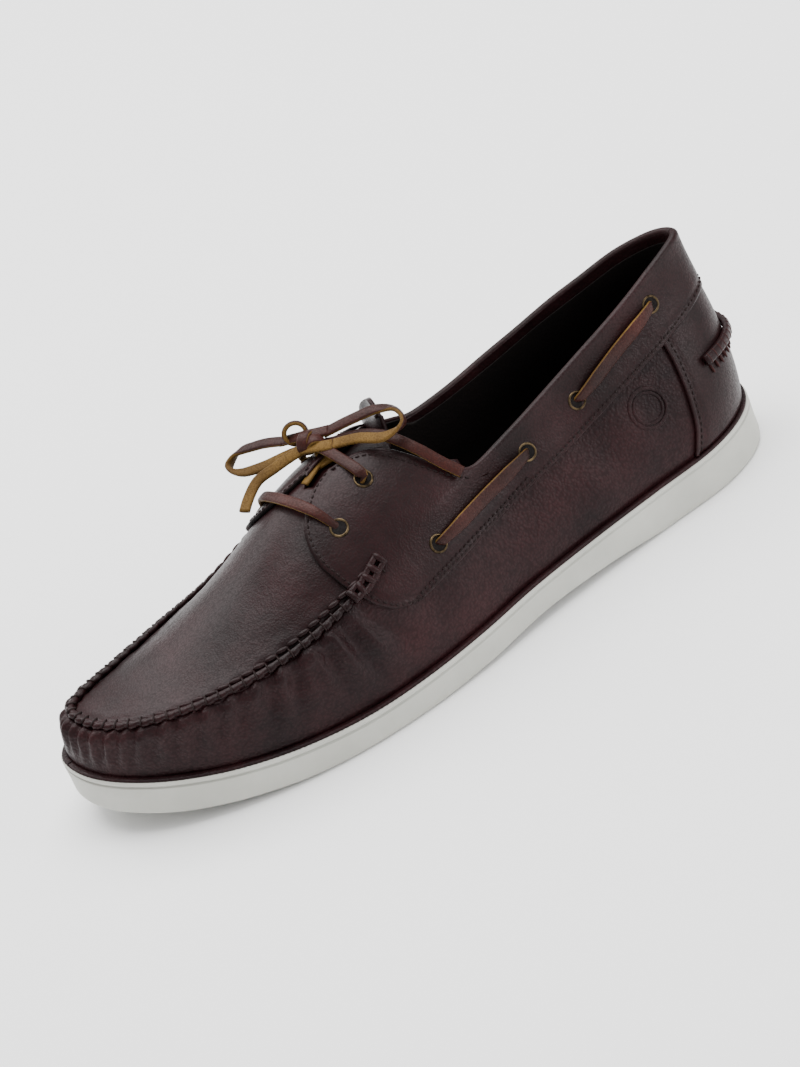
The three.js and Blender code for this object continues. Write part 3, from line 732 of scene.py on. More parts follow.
def plain(around, up, lift):
    """A place on the last with a lift and no relief, in the shared frame."""
    around, up = np.broadcast_arrays(np.asarray(around, float), np.asarray(up, float))
    up = np.where(half(around)[0] < COLLAR_END, up * LINING_SHARE, up)
    return to_row(last_point(around, up) + facing(around, up) * lift)


lining = keep(shell(200, 18, 10, LINING_LIFT, plain), "lining", LINING_AND_SHADE_LEATHER, LINING_AND_SHADE_LEATHER)
thicken(lining, LINING_THICK)

# %% [markdown]
# ## Leather overlays
# The saddle and collar band is cut to a pattern and laid over the wall. A patch inside four
# edges gives it: two edges run along the shoe and two across, and everything between them
# follows. Its top edge is turned over the collar's rim, so the rim is round to the hand.


# %% A patch inside four edges
EDGE_EASE = 4              # how fast an end edge's own shape fades away from it


def along_edge(rows, at):
    """Places at even shares of the way through an edge's rows."""
    rows = np.asarray(rows, float)
    knots = np.linspace(0, 1, len(rows))
    return np.stack([np.interp(at, knots, column) for column in rows.T], -1)


def patch(low, high, back, front):
    """A place inside four edges, each with rows of around and up.

    u runs along the low and high edges, and v from the low one to the high one.
    """
    low, high = np.asarray(low, float), np.asarray(high, float)

    def place(u, v):
        across, rise = u[:, None], v[:, None]
        at = (1 - rise) * along_edge(low, u) + rise * along_edge(high, u)
        ends = ((back, (1 - across) ** EDGE_EASE, 0), (front, across**EDGE_EASE, -1))
        for edge, weight, end in ends:
            straight = (1 - rise) * low[end] + rise * high[end]
            at = at + weight * (along_edge(edge, v) - straight)
        return at[:, 0], at[:, 1]
    return place


def finer(rows, steps):
    """The same edge with its corners eased, as rows evenly spaced along it on the last."""
    rows = np.asarray(rows, float)
    dense = along_edge(rows, np.linspace(0, 1, 400))
    run = run_of(last_point(dense[:, 0], dense[:, 1]))
    at = np.linspace(0, run[-1], steps)
    even = np.stack([np.interp(at, run, c) for c in dense.T], -1)
    for _ in range(3):
        even[1:-1] = (even[:-2] + 2 * even[1:-1] + even[2:]) / 4
    return even


# %% The saddle's edges, as around and up
SADDLE_LOW = [
    [0, 0.66], [0.055, 0.66], [0.12, 0.65], [0.18, 0.64], [0.241, 0.63], [0.315, 0.605],
    [0.39, 0.58], [0.457, 0.55], [0.505, 0.515], [0.535, 0.49]]
SADDLE_TOP = [
    [0, 1], [0.06, 1], [0.12, 1], [0.18, 1], [0.24, 1], [0.31, 1], [0.38, 1], [0.446, 1],
    [0.464, 1.16], [0.482, 1.42], [0.498, 1.68], [0.515, 1.82], [0.545, 1.90]]
SADDLE_FRONT = [
    [0.535, 0.49], [0.558, 0.57], [0.574, 0.74], [0.583, 0.93], [0.592, 1.12], [0.598, 1.3],
    [0.598, 1.45], [0.592, 1.62], [0.580, 1.75], [0.564, 1.85], [0.545, 1.90]]
SADDLE_LIFT = 1.9
SADDLE_THICK = 1.4
RELIEF_SHOWN = 0.35        # share of the wall's relief that shows through an overlay
EDGE_PRESS = 0.35          # mm, how far a sewn edge and its stitch row are pressed down
RIM_RADIUS = 1.7
RIM_SHARE = 0.22           # share of the saddle's rows that turn over the rim
INNER_AHEAD = 0.014        # the inner saddle's throat end lies this much nearer the toe


def inner_side(rows):
    """The same edge on the inner side of the shoe."""
    return [[2 - turn - INNER_AHEAD * np.clip((turn - 0.4) / 0.1, 0, 1), up] for turn, up in rows]


def eased(rows):
    """Rows of one edge at matching places of another, by their share of the length."""
    return [list(row) for row in finer(rows, 60)]


def saddle_places(low, high, front):
    back = [low[0], high[0]]
    return patch(eased(low), eased(high), back, eased(front))


def from_edges(points, edges):
    """How far points are from the nearest of some edges, in mm."""
    lines = np.concatenate([last_point(*np.asarray(e, float).T) for e in edges])
    far = [np.linalg.norm(points[i:i + 500, None] - lines[None], axis=2).min(axis=1)
           for i in range(0, len(points), 500)]
    return np.concatenate(far)


def overlay(places, lift, sewn_edges, rim=False):
    """The place function of an overlay's grid, with its pressed edge and its turned rim."""
    def place(u, v):
        share = 1 - RIM_SHARE if rim else 1.0
        around, up = places(u, np.clip(v / share, 0, 1))
        points = last_point(around, up)
        gap = from_edges(points, sewn_edges)
        tall = relief(around, up, points) * RELIEF_SHOWN + waves(points) + lift
        tall = tall - EDGE_PRESS * np.exp(-gap / 0.5)
        tall = tall - EDGE_PRESS * np.exp(-((gap - 2.6) / 1.2) ** 2)
        out = facing(around, up)
        where = points + out * tall[:, None]
        if not rim:
            return to_row(where)
        top = np.ones(len(u))
        after, before = np.minimum(u + 0.004, 1), np.maximum(u - 0.004, 0)
        edge = last_point(*places(after, top)) - last_point(*places(before, top))
        climb = unit(np.cross(edge, out))
        below = last_point(*places(u, top - 0.05))
        climb *= np.sign(np.sum(climb * (last_point(*places(u, top)) - below)))
        past = np.clip((v - share) / RIM_SHARE, 0, 1)
        turn = math.pi * np.clip(past / 0.7, 0, 1)
        size = np.interp(half(around)[0], (0.435, 0.468), (1.0, 0.4))
        tuck = 5.0 * size**2 * np.clip((past - 0.7) / 0.3, 0, 1)
        rise = RIM_RADIUS * size * (np.sin(turn) - 0.5 * np.clip(v / share, 0, 1) ** 4) - tuck
        drop = RIM_RADIUS * size * (1 - np.cos(turn))
        return to_row(where + climb * rise[:, None] - out * drop[:, None])
    return place


# %% The outer and inner saddles
saddles = {}
for side, turned in (("outer", lambda rows: rows), ("inner", inner_side)):
    low, high, front = turned(SADDLE_LOW), turned(SADDLE_TOP), turned(SADDLE_FRONT)
    saddles[side] = saddle_places(low, high, front)
    saddle_mesh = bmesh.new()
    sewn = [finer(low, 160), finer(front, 60)]
    grid(saddle_mesh, 170, 52, overlay(saddles[side], SADDLE_LIFT, sewn, rim=True))
    outwards(saddle_mesh)
    piece = keep(saddle_mesh, f"saddle_{side}", APRON_LEATHER, LINING_AND_SHADE_LEATHER)
    # The saddle's cut edges take the near-black finish: partly the edge's own dye, partly painted
    # shade for the shadow line along the edge.
    thicken(piece, SADDLE_THICK).modifiers[0].material_offset_rim = 1
    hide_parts("saddle")

# %% [markdown]
# ## Heel counter and its sewn lip
# A stiff counter wraps the heel below the collar band. Its front edges are piped. Behind, a
# short lip of leather is drawn up and whipped with thread, as on hand-sewn moccasins.

# %% The counter
COUNTER_LIFT = 1.0
COUNTER_FRONT = [[0.228, 0.02], [0.213, 0.16], [0.203, 0.36], [0.197, 0.54], [0.197, 0.72]]
mirrored = [[-a, u] for a, u in COUNTER_FRONT]
counter_low = [[a, 0.02] for a in np.linspace(0.228, -0.228, 30)]
counter_high = [[a, 0.72] for a in np.linspace(0.197, -0.197, 30)]
counter_places = patch(counter_low, counter_high, COUNTER_FRONT, mirrored)
counter_mesh = bmesh.new()
counter_edges = [np.array(COUNTER_FRONT), np.array(mirrored)]
sewn = [finer(edge, 60) for edge in counter_edges]
grid(counter_mesh, 90, 34, overlay(counter_places, COUNTER_LIFT, sewn))
outwards(counter_mesh)
counter = keep(counter_mesh, "heel_counter_cover", APRON_LEATHER)
thicken(counter, 0.9)
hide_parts("heel_counter")

# %% Piping on the counter's front edges
piping_mesh = bmesh.new()
for edge in counter_edges:
    rows = finer(edge, 40)
    line = last_point(*rows.T) + facing(*rows.T) * (COUNTER_LIFT + 0.1)
    strip(piping_mesh, line, facing(*rows.T), wide=1.7, thick=1.3)
bmesh.ops.recalc_face_normals(piping_mesh, faces=piping_mesh.faces)
one_finish(piping_mesh)
piping = keep(piping_mesh, "counter_piping", APRON_LEATHER)

# %% [markdown]
# ## Thread
# Every sewn row is waxed thread in the leather's own colour. A stitch is a small bead drawn
# out along its row, half sunk into the leather.


# %% Thread finish, and a row of stitches
def thread(name, deep, light):
    """Waxed thread: dull, with a fine twist in its bump."""
    made, tree, shader, place = new_finish(name, 0.6)
    shader.inputs["Specular IOR Level"].default_value = 0.2
    tree.links.new(between(tree, clouds(tree, place, 2), deep, light), shader.inputs["Base Color"])
    tree.links.new(bump(tree, clouds(tree, place, 0.4), 0.08), shader.inputs["Normal"])
    return made


# Nearly black: the rows read as fine dark dashes on the leather.
DARK_THREAD = thread("waxed_dark_thread", "#0f0606", "#1f0f0e")
# Red-brown and a little lighter, so the whipped heel lip shows each turn.
RED_THREAD = thread("waxed_red_brown_thread", "#220d0c", "#3a1816")


def bead(bm, place, ahead, out, sizes):
    """One rounded bead: its middle, its two directions, and its half sizes, in mm."""
    side = np.cross(out, ahead)
    axes = np.stack([ahead * sizes[0], side * sizes[1], out * sizes[2]], 1) * MM
    matrix = Matrix(axes.tolist()).to_4x4()
    matrix.translation = Vector(to_row(place))
    bmesh.ops.create_uvsphere(bm, u_segments=8, v_segments=6, radius=1, matrix=matrix)


def sew(bm, around, up, lift, pitch=2.4, sizes=(0.95, 0.46, 0.5)):
    """Stitches at an even pitch along a row of places on the last."""
    points = last_point(around, up)
    run = run_of(points)
    count = max(2, round(run[-1] / pitch))
    at = (np.arange(count) + 0.5) * run[-1] / count
    around, up = np.interp(at, run, around), np.interp(at, run, up)
    points, out = last_point(around, up), facing(around, up)
    tall = waves(points) + relief(around, up, points) * RELIEF_SHOWN + lift
    middles = points + out * tall[:, None]
    aheads = unit(np.gradient(middles, axis=0))
    for middle, ahead, way in zip(middles, aheads, out):
        flat = ahead - way * np.dot(ahead, way)
        bead(bm, middle, flat / np.linalg.norm(flat), way, sizes)
    return count


def inset_row(places, edge, inset, start=0.0, end=1.0, steps=240):
    """A row of places a few mm inside one edge of a patch: low, high, back or front."""
    t = np.linspace(start, end, steps)
    inner = 0.04           # share of the patch over which an edge's way inwards is read
    pairs = {"low": (t, 0 * t, t, 0 * t + inner), "high": (t, 0 * t + 1, t, 0 * t + 1 - inner),
             "back": (0 * t, t, 0 * t + inner, t), "front": (0 * t + 1, t, 0 * t + 1 - inner, t)}
    u0, v0, u1, v1 = pairs[edge]
    first = last_point(*places(u0, v0))
    second = last_point(*places(u1, v1))
    share = inset / (np.linalg.norm(second - first, axis=1) + 1e-9)
    return places(u0 + (u1 - u0) * share, v0 + (v1 - v0) * share)


# %% The sewn rows
stitch_mesh = bmesh.new()
total = 0
for side, places in saddles.items():
    seat = SADDLE_LIFT - 0.22
    total += sew(stitch_mesh, *inset_row(places, "low", 1.7), seat)
    total += sew(stitch_mesh, *inset_row(places, "low", 4.0, 0.62, 1.0), seat)
    total += sew(stitch_mesh, *inset_row(places, "front", 1.8, 0.0, 0.97), seat)
    total += sew(stitch_mesh, *inset_row(places, "high", 3.0, 0.70, 0.98), seat + 0.2)
for edge in ("back", "front"):
    total += sew(stitch_mesh, *inset_row(counter_places, edge, 2.3), COUNTER_LIFT - 0.35)
keep(stitch_mesh, "sewn_rows", DARK_THREAD, weld=0.0001)
print(total, "stitches")

# %% [markdown]
# ## The raised toe seam
# The wall and the apron are drawn up against each other and sewn through both, so a ridge
# stands round the toe. It looks like a rope: between two stitches the leather swells, and
# each stitch pulls it in. At each end the seam climbs onto the saddle and stops in a short
# ladder of cross stitches.


# %% A rope of drawn-up leather
def rope(bm, around, up, lift, pitch, sizes, lean):
    """Leather swellings between stitches, each leaning across the row by an angle."""
    points = last_point(around, up)
    run = run_of(points)
    count = round(run[-1] / pitch)
    at = (np.arange(count) + 0.5) * run[-1] / count
    around, up = np.interp(at, run, around), np.interp(at, run, up)
    out = facing(around, up)
    middles = last_point(around, up) + out * lift
    aheads = unit(np.gradient(middles, axis=0))
    for middle, ahead, way in zip(middles, aheads, out):
        flat = unit(ahead - way * np.dot(ahead, way))
        side = np.cross(way, flat)
        bead(bm, middle, flat * math.cos(lean) + side * math.sin(lean), way, sizes)
    return count


RIDGE_LIFT = 0.9
ridge_around = np.linspace(SEAM_START, SEAM_END, 400)
ridge_up = np.ones(400)
seam_mesh = bmesh.new()
out = facing(ridge_around, ridge_up)
ridge_line = last_point(ridge_around, ridge_up) + out * RIDGE_LIFT
strip(seam_mesh, ridge_line, out, wide=2.4, thick=2.6)
one_finish(seam_mesh)
made = 0
for over, lift, sizes, lean in ((-0.035, 0.1, (2.75, 1.5, 1.3), 0.35),
                                (0.06, 0.2, (2.9, 1.1, 1.15), -0.14)):
    made += rope(seam_mesh, ridge_around, ridge_up + over, RIDGE_LIFT + lift, SEAM_PITCH,
                 sizes, lean)
seam = keep(seam_mesh, "toe_seam_ridge", APRON_LEATHER, weld=0.0001)
print(made, "swellings")

# %% Thread of the toe seam, one stitch between each two swellings
seam_thread = bmesh.new()
stitch_at = np.arange(SEAM_COUNT + 1) * seam_run[-1] / SEAM_COUNT
stitch_around = np.interp(stitch_at, seam_run, seam_around)
ups = np.ones(len(stitch_around))
ways = facing(stitch_around, ups)
spots = last_point(stitch_around, ups) + ways * (RIDGE_LIFT + 0.9)
aheads = unit(np.gradient(spots, axis=0))
for spot, ahead, way in zip(spots, aheads, ways):
    across = np.cross(way, unit(ahead - way * np.dot(ahead, way)))
    bead(seam_thread, spot, across, way, (2.3, 0.5, 0.9))
keep(seam_thread, "toe_seam_thread", DARK_THREAD, weld=0.0001)

# %% The ladder that ends the seam on each saddle
LADDER = [[0.592, 0.985], [0.578, 1.0], [0.564, 1.03], [0.553, 1.05]]
ladder_mesh = bmesh.new()
for side in (1, -1):
    rows = finer(LADDER, 30)
    around = rows[:, 0] if side > 0 else 2 - rows[:, 0] - INNER_AHEAD
    up = rows[:, 1]
    way = facing(around, up)
    line = last_point(around, up) + way * (SADDLE_LIFT + 0.9)
    ahead = unit(np.gradient(line, axis=0))
    across = unit(np.cross(way, ahead))
    for shift in (-1.8, 1.8):
        strip(ladder_mesh, line + across * shift, way, wide=2.3, thick=2.6)
    for spot in np.linspace(2, 28, 5).astype(int):
        bead(ladder_mesh, line[spot] + way[spot] * 0.8, across[spot], way[spot], (3.3, 1.5, 1.3))
bmesh.ops.recalc_face_normals(ladder_mesh, faces=ladder_mesh.faces)
one_finish(ladder_mesh)
ladder = keep(ladder_mesh, "seam_end_ladder", APRON_LEATHER, weld=0.0001)

# %% The heel's sewn lip
LIP_REACH = 0.158          # turn, how far the lip runs to each side of the heel
WHIP_PITCH = 3.4
lip_around = np.linspace(LIP_REACH, -LIP_REACH, 60)
lip_up = 0.40 - 0.05 * (1 - np.abs(lip_around) / LIP_REACH)
lip_way = facing(lip_around, lip_up)
lip_line = last_point(lip_around, lip_up) + lip_way * (COUNTER_LIFT + 1.6)
lip_mesh = strip(bmesh.new(), lip_line, lip_way, wide=4.2, thick=3.0)
one_finish(lip_mesh)
bmesh.ops.recalc_face_normals(lip_mesh, faces=lip_mesh.faces)
lip = keep(lip_mesh, "heel_lip", APRON_LEATHER, weld=0.0001)
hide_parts("heel_tab")
whip_mesh = bmesh.new()
whip_run = run_of(lip_line)
whip_count = round(whip_run[-1] / WHIP_PITCH)
for at in (np.arange(whip_count) + 0.5) * whip_run[-1] / whip_count:
    spot = np.array([np.interp(at, whip_run, c) for c in lip_line.T])
    way = unit(np.array([np.interp(at, whip_run, c) for c in lip_way.T]))
    down = np.array([0.0, 0.0, -1.0])
    down = unit(down - way * np.dot(down, way))
    bead(whip_mesh, spot + way * 0.9, down, way, (2.3, 0.5, 0.8))
    bead(whip_mesh, spot + down * 4.2 - way * 1.4, down, way, (2.3, 0.5, 0.6))
keep(whip_mesh, "heel_lip_thread", RED_THREAD, weld=0.0001)

# %% [markdown]
# ## Tongue and insole
# The tongue is its own piece of leather. It runs under the throat and its tip stands up
# behind the knot. The insole is a soft sheet with rounded edges on the sole.

# %% The tongue
TONGUE = table("x half shift rise", [
    [190, 16, 4, 0],
    [178, 19, 5, 0],
    [166, 20, 5, 0],
    [156, 20, 5.5, 0],
    [148, 19, 6, 0],
    [143, 17, 6.5, 0],
    [140.8, 13.5, 8, 0.8],
    [139.4, 12.5, 9.5, 5.5],
    [138.5, 12.5, 11, 13],
])
UNDER_GAP = 2.9            # mm, from the last's top to the tongue under its leather
INSOLE_GAP = 2.9           # mm, the insole's clearance from the wall, and its height at most


def under_leather(x, y):
    """Height just under the upper's leather, at a place in plan."""
    turn = turn_at(SHOULDER, x)
    outer, inner = look_up(SHOULDER, "outer", turn), look_up(SHOULDER, "inner", turn)
    across = (2 * y - outer - inner) / (outer - inner)
    slope = 4 * look_up(SHOULDER, "crown", turn) * across / (outer - inner)
    return crown_point(turn, across)[..., 2] - UNDER_GAP * np.sqrt(1.16 + slope**2)


def tongue_place(u, v):
    knots = np.linspace(0, 1, len(TONGUE["x"]))
    names = ("x", "half", "shift", "rise")
    x, half_wide, shift, rise = (smooth(knots, TONGUE[name], v) for name in names)
    middle = crown_point(turn_at(SHOULDER, x), 0 * x)[:, 1] - shift
    across = 2 * u - 1
    round_tip = np.clip((v - 0.9) / 0.1, 0, 1) ** 2 * across**4 * 5
    y = middle + across * half_wide
    ripple = 0.5 * np.sin(u * 9) * np.clip((v - 0.6) / 0.4, 0, 1)
    return to_row(np.stack([x + ripple, y, under_leather(x, y) + rise - round_tip], -1))


tongue_mesh = bmesh.new()
grid(tongue_mesh, 34, 60, tongue_place)
outwards(tongue_mesh, (0, 0, -0.5))
tongue = keep(tongue_mesh, "tongue_leather", APRON_LEATHER)
thicken(tongue, 1.7)
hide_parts("tongue")


# %% The insole
def insole_place(u, v):
    around = 2 * u
    foot = 0 * around
    edge = last_point(around, foot) - facing(around, foot) * INSOLE_GAP
    other = last_point(2 - around, foot) - facing(2 - around, foot) * INSOLE_GAP
    middle = (edge + other) / 2
    side = 1 - v
    at = middle + (edge - middle) * side[:, None]
    dish = INSOLE_GAP - 1.2 * np.clip((side - 0.9) / 0.1, 0, 1) ** 2 - 0.5 * (1 - side**2)
    at[:, 2] = sole_top(at[:, 0]) + dish
    return to_row(at)


insole_mesh = bmesh.new()
grid(insole_mesh, 160, 14, insole_place)
bmesh.ops.remove_doubles(insole_mesh, verts=insole_mesh.verts, dist=0.05 * MM)
outwards(insole_mesh, (0, 0, -0.5))
insole = keep(insole_mesh, "insole_sheet", LINING_AND_SHADE_LEATHER)
thicken(insole, 1.6)
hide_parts("insole")

# %% [markdown]
# ## Eyelets
# Each eyelet is a thin brass ring, aged dark, pressed through both leathers. A small round
# section spun about the eyelet's axis makes the ring, and a dark disc inside it is painted shade
# that stands for its hole.

# %% Antique brass
# Browned brass: dark in general, with a worn glint on the rim.
BRASS, brass_tree, brass_shader, brass_place = new_finish("antique_brass", 0.4, metallic=1.0)
tarnish = ramp(brass_tree, clouds(brass_tree, brass_place, 3, 4), 0.35, 0.65)
brass_colour = between(brass_tree, tarnish, "#241d15", "#5a4c38")
brass_tree.links.new(brass_colour, brass_shader.inputs["Base Color"])
brass_tree.links.new(ramp(brass_tree, tarnish, 0, 1, 0.48, 0.3), brass_shader.inputs["Roughness"])

# %% The eyelets' places and their rings
EYELETS = {
    "outer": {"collar_back": (0.188, 0.86), "collar_rear": (0.325, 0.79),
              "collar_front": (0.392, 0.78), "quarter": (0.502, 0.75),
              "throat_top": (0.527, 1.55), "throat_low": (0.567, 1.40)},
    "inner": {"collar_back": (0.190, 0.86), "collar_rear": (0.330, 0.79),
              "collar_front": (0.398, 0.78), "quarter": (0.515, 0.75),
              "throat_top": (0.540, 1.28), "throat_low": (0.592, 1.32)},
}
RING_RADIUS = 3.2
RING_WIRE = 0.55
HOLE_RADIUS = 2.75
HOLE_LIFT = 0.22
mouths = {}
for side, rows in EYELETS.items():
    for name, (turn, up) in rows.items():
        around = np.array([turn if side == "outer" else 2 - turn])
        up = np.array([up])
        spot = last_point(around, up)[0]
        way = facing(around, up)[0]
        tall = SADDLE_LIFT - 0.1 + float(waves(spot[None])[0])
        mouths[side, name] = (spot + way * tall, way)
        eyelet_mesh = bmesh.new()
        bmesh.ops.create_circle(eyelet_mesh, segments=10, radius=RING_WIRE * MM)
        upright = Matrix.Rotation(math.pi / 2, 3, "X")
        bmesh.ops.rotate(eyelet_mesh, verts=eyelet_mesh.verts, matrix=upright)
        bmesh.ops.translate(eyelet_mesh, verts=eyelet_mesh.verts, vec=(RING_RADIUS * MM, 0, 0))
        bmesh.ops.spin(eyelet_mesh, geom=eyelet_mesh.edges[:] + eyelet_mesh.verts[:],
                       axis=(0, 0, 1), cent=(0, 0, 0), angle=2 * math.pi, steps=32,
                       use_merge=True)
        bmesh.ops.remove_doubles(eyelet_mesh, verts=eyelet_mesh.verts, dist=0.001 * MM)
        bmesh.ops.recalc_face_normals(eyelet_mesh, faces=eyelet_mesh.faces)
        # Painted shade: a near-black disc just inside the ring stands for the dark hole.
        hole_shade_disc = bmesh.ops.create_circle(eyelet_mesh, cap_ends=True, segments=24,
                                       radius=HOLE_RADIUS * MM)["verts"]
        bmesh.ops.translate(eyelet_mesh, verts=hole_shade_disc, vec=(0, 0, HOLE_LIFT * MM))
        finish_around(hole_shade_disc, 1)
        turned = Vector(way).to_track_quat("Z", "Y").to_matrix().to_4x4()
        turned.translation = Vector(to_row(spot + way * tall))
        bmesh.ops.transform(eyelet_mesh, matrix=turned, verts=eyelet_mesh.verts)
        ring = keep(eyelet_mesh, f"ring_{side}_{name}", BRASS, LINING_AND_SHADE_LEATHER, weld=0.0001)
        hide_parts(f"eyelet_{side}_{name}")

# %% [markdown]
# ## The lace through the eyelets
# Along each side the lace shows in two runs that dive into eyelets at both ends. Over the
# throat it makes a bar between the lower eyelets, and from the upper ones it climbs to the
# knot. In each hole it is pinched narrow.


# %% Runs of lace between eyelets
def run_line(first, second, lift, bow=(0, 0, 0)):
    """A lace's line from one mouth into another, over the leather between them."""
    (a, way_a), (b, way_b) = first, second
    along = unit(b - a)
    middle = (a + b) / 2 + unit(way_a + way_b) * lift + np.asarray(bow, float)
    return even_line([a - way_a * 1.2 + along * 0.4, a + way_a * 0.9 + along * 1.0,
                      a + way_a * 1.7 + along * 4.0, middle, b + way_b * 1.7 - along * 4.0,
                      b + way_b * 0.9 - along * 1.0, b - way_b * 1.2 - along * 0.4], 44)


RUN_TILT = 0.30            # how far a side run leans, which shows its raw upper edge
SIDE_RUN_WIDE = 5.6
PINCHED = 0.62             # share of its width that a lace keeps in a hole
PINCH_REACH = 0.25         # share of the run over which it widens again
SIDE_RUNS = (("front", "quarter", "collar_front"), ("rear", "collar_rear", "collar_back"))


def pinch(line, wide):
    """Widths along a lace that is narrow where it dives into a hole."""
    share = np.linspace(0, 1, len(line))
    opened = np.clip(np.minimum(share, 1 - share) / PINCH_REACH, 0, 1)
    return wide * (PINCHED + (1 - PINCHED) * opened)


for side in ("outer", "inner"):
    for name, start, end in SIDE_RUNS:
        first, second = mouths[side, start], mouths[side, end]
        line = run_line(first, second, 1.6)
        face = unit(first[1] + second[1]) - (0, 0, RUN_TILT)
        piece = lace(f"side_run_{side}_{name}", line, face, wide=pinch(line, SIDE_RUN_WIDE))
        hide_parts(f"side_lace_{side}_{name}")

# %% The bar over the throat, and the two runs up to the knot
low_outer, low_inner = EYELETS["outer"]["throat_low"], EYELETS["inner"]["throat_low"]
turns = np.linspace(low_outer[0], low_inner[0], 7)
overs = np.linspace(2 - low_outer[1], low_inner[1] - 2, 7)
bow_ahead = 0.007 * np.sin(np.linspace(0, math.pi, 7))
bar_around = np.where(overs > 0, turns + bow_ahead, 2 - turns - bow_ahead)
bar_up = np.minimum(2 - np.abs(overs), 1.99)
bar_way = facing(bar_around, bar_up)
bar_lift = np.array([0.6, 4.2, 3.9, 3.6, 3.9, 4.2, 0.6])
bar_line = even_line(last_point(bar_around, bar_up) + bar_way * bar_lift[:, None], 50)
bar_face = even_line(bar_way * 10, 50)
bar = lace("throat_bar", bar_line, bar_face, wide=pinch(bar_line, LACE_WIDE))
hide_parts("lace_bar")
for side, sign in (("outer", 1), ("inner", -1)):
    mouth, way = mouths[side, "throat_top"]
    end = KNOT + bow_axis * -2.2 * sign
    middle = (mouth + end) / 2 + (0, 0, 2.4)
    line = even_line([mouth - way * 1.2, mouth + way * 1.6, middle, end], 30)
    piece = lace(f"top_run_{side}", line, (0.3, 0.2 * sign, 1))
    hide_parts(f"lace_top_{side}")

# %% The crossing under the knot
CROSS_REACH = 4.6
cross_mesh = bmesh.new()
for sign in (1, -1):
    rows = np.array([[175, sign * CROSS_REACH], [170, sign * 2.5], [166, 0], [162, -sign * 1.5],
                     [158, -sign * 3.0]])
    heights = under_leather(rows[:, 0], rows[:, 1]) + 1.9 + (0.9 if sign > 0 else 0)
    line = even_line(np.column_stack([rows, heights]), 24)
    strip(cross_mesh, line, (0.2, 0, 1), wide=3.4, thick=1.6)
bmesh.ops.recalc_face_normals(cross_mesh, faces=cross_mesh.faces)
one_finish(cross_mesh, 1)
cross = keep(cross_mesh, "throat_crossing", LACE_GRAIN, LACE_FLESH, weld=0.0001)
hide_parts("lace_cross")

# %% [markdown]
# ## The sole
# The sole is one moulding of pale rubber. Its wall has a small lip at the top with a groove
# under it, and its bottom edge is rounded. The bottom is lined with wavy slits that grip a
# wet deck, under the ball and under the heel, and the arch between them stays off the ground.

# %% Pale rubber
# Off-white and matt, with a fine moulded grain: it takes a soft even shade and no highlight.
RUBBER, rubber_tree, rubber_shader, rubber_place = new_finish("moulded_off_white_rubber",
                                                              0.55, ior=1.5)
rubber_tone = ramp(rubber_tree, clouds(rubber_tree, rubber_place, 25, 4), 0.35, 0.7)
rubber_colour = between(rubber_tree, rubber_tone, "#aeaea6", "#bbbbb3")
rubber_tree.links.new(rubber_colour, rubber_shader.inputs["Base Color"])
rubber_tree.links.new(bump(rubber_tree, clouds(rubber_tree, rubber_place, 0.6, 2), 0.05),
                      rubber_shader.inputs["Normal"])

# %% The sole's wall
SOLE_PROFILE = [
    # inset from the edge, height: share of the wall, and mm added to it
    (8.0, 1, -2.0), (6.0, 1, -0.4), (3.4, 1, 0.0), (1.2, 1, 0.05), (0.5, 1, -0.15),
    (0.05, 1, -0.7), (0.0, 1, -1.4), (0.12, 1, -1.7), (0.75, 1, -1.95), (0.75, 1, -2.5),
    (0.1, 1, -2.8), (0.0, 1, -3.2), (0.15, 0.5, 0), (0.1, 0, 2.2), (0.25, 0, 1.2),
    (0.7, 0, 0.5), (1.4, 0, 0.1), (2.2, 0, 0.0), (5.0, 0, 0.0), (5.2, 0, 0.9), (5.9, 0, 1.0),
    (6.2, 0, 0.1), (8.0, 0, 0.1), (8.5, 0, 2.5), (8.4, 0.5, 0), (8.0, 1, -2.0)]
profile = np.array(SOLE_PROFILE)


def sole_wall_place(u, v):
    around = 2 * u
    at = v * (len(profile) - 1)
    inset, share, extra = (np.interp(at, np.arange(len(profile)), c) for c in profile.T)
    x, y = sole_edge(around, inset)
    top, under = sole_top(x), sole_under(x)
    return to_row(np.stack([x, y, under + (top - under) * share + extra], -1))


sole_mesh = bmesh.new()
grid(sole_mesh, 300, len(SOLE_PROFILE) - 1, sole_wall_place)
bmesh.ops.remove_doubles(sole_mesh, verts=sole_mesh.verts, dist=0.01 * MM)
bmesh.ops.recalc_face_normals(sole_mesh, faces=sole_mesh.faces)
sole = keep(sole_mesh, "sole_wall", RUBBER)
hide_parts("outsole")

# %% [markdown]
# The slits are waves across the sole. A fine grid is cut to the outline, and each point sinks
# where a slit passes. The plain panel in the arch has a groove round it and carries nothing.

# %% The bottom's plates
SLIT_PITCH, SLIT_WAVE, SLIT_SWING = 3.75, 8.7, 0.9
SLIT_DEEP, SLIT_SHARE = 1.0, 0.15
SLIT_TURN = math.radians(5.5)
PANEL = (117.0, 17.0, 9.8, 18.0)         # middle x and y, half length and half width, in mm
RIM_BAND = 6.4             # the bottom's plates stop this far in from the sole's edge


def slits(x, y):
    """How deep the wavy slits are cut at a place, in mm."""
    along = x * math.cos(SLIT_TURN) + y * math.sin(SLIT_TURN)
    across = y * math.cos(SLIT_TURN) - x * math.sin(SLIT_TURN)
    wave = SLIT_SWING * np.sin(2 * math.pi * across / SLIT_WAVE)
    phase = (along + wave) / SLIT_PITCH
    gap = np.abs(phase - np.round(phase))
    return np.where(gap < SLIT_SHARE, SLIT_DEEP, 0.0)


def panel_groove(x, y):
    """How deep the groove round the plain panel is at a place, in mm."""
    away = np.maximum(np.abs(x - PANEL[0]) - PANEL[2], np.abs(y - PANEL[1]) - PANEL[3])
    return np.where(np.abs(away) < 0.7, 0.9, 0.0)


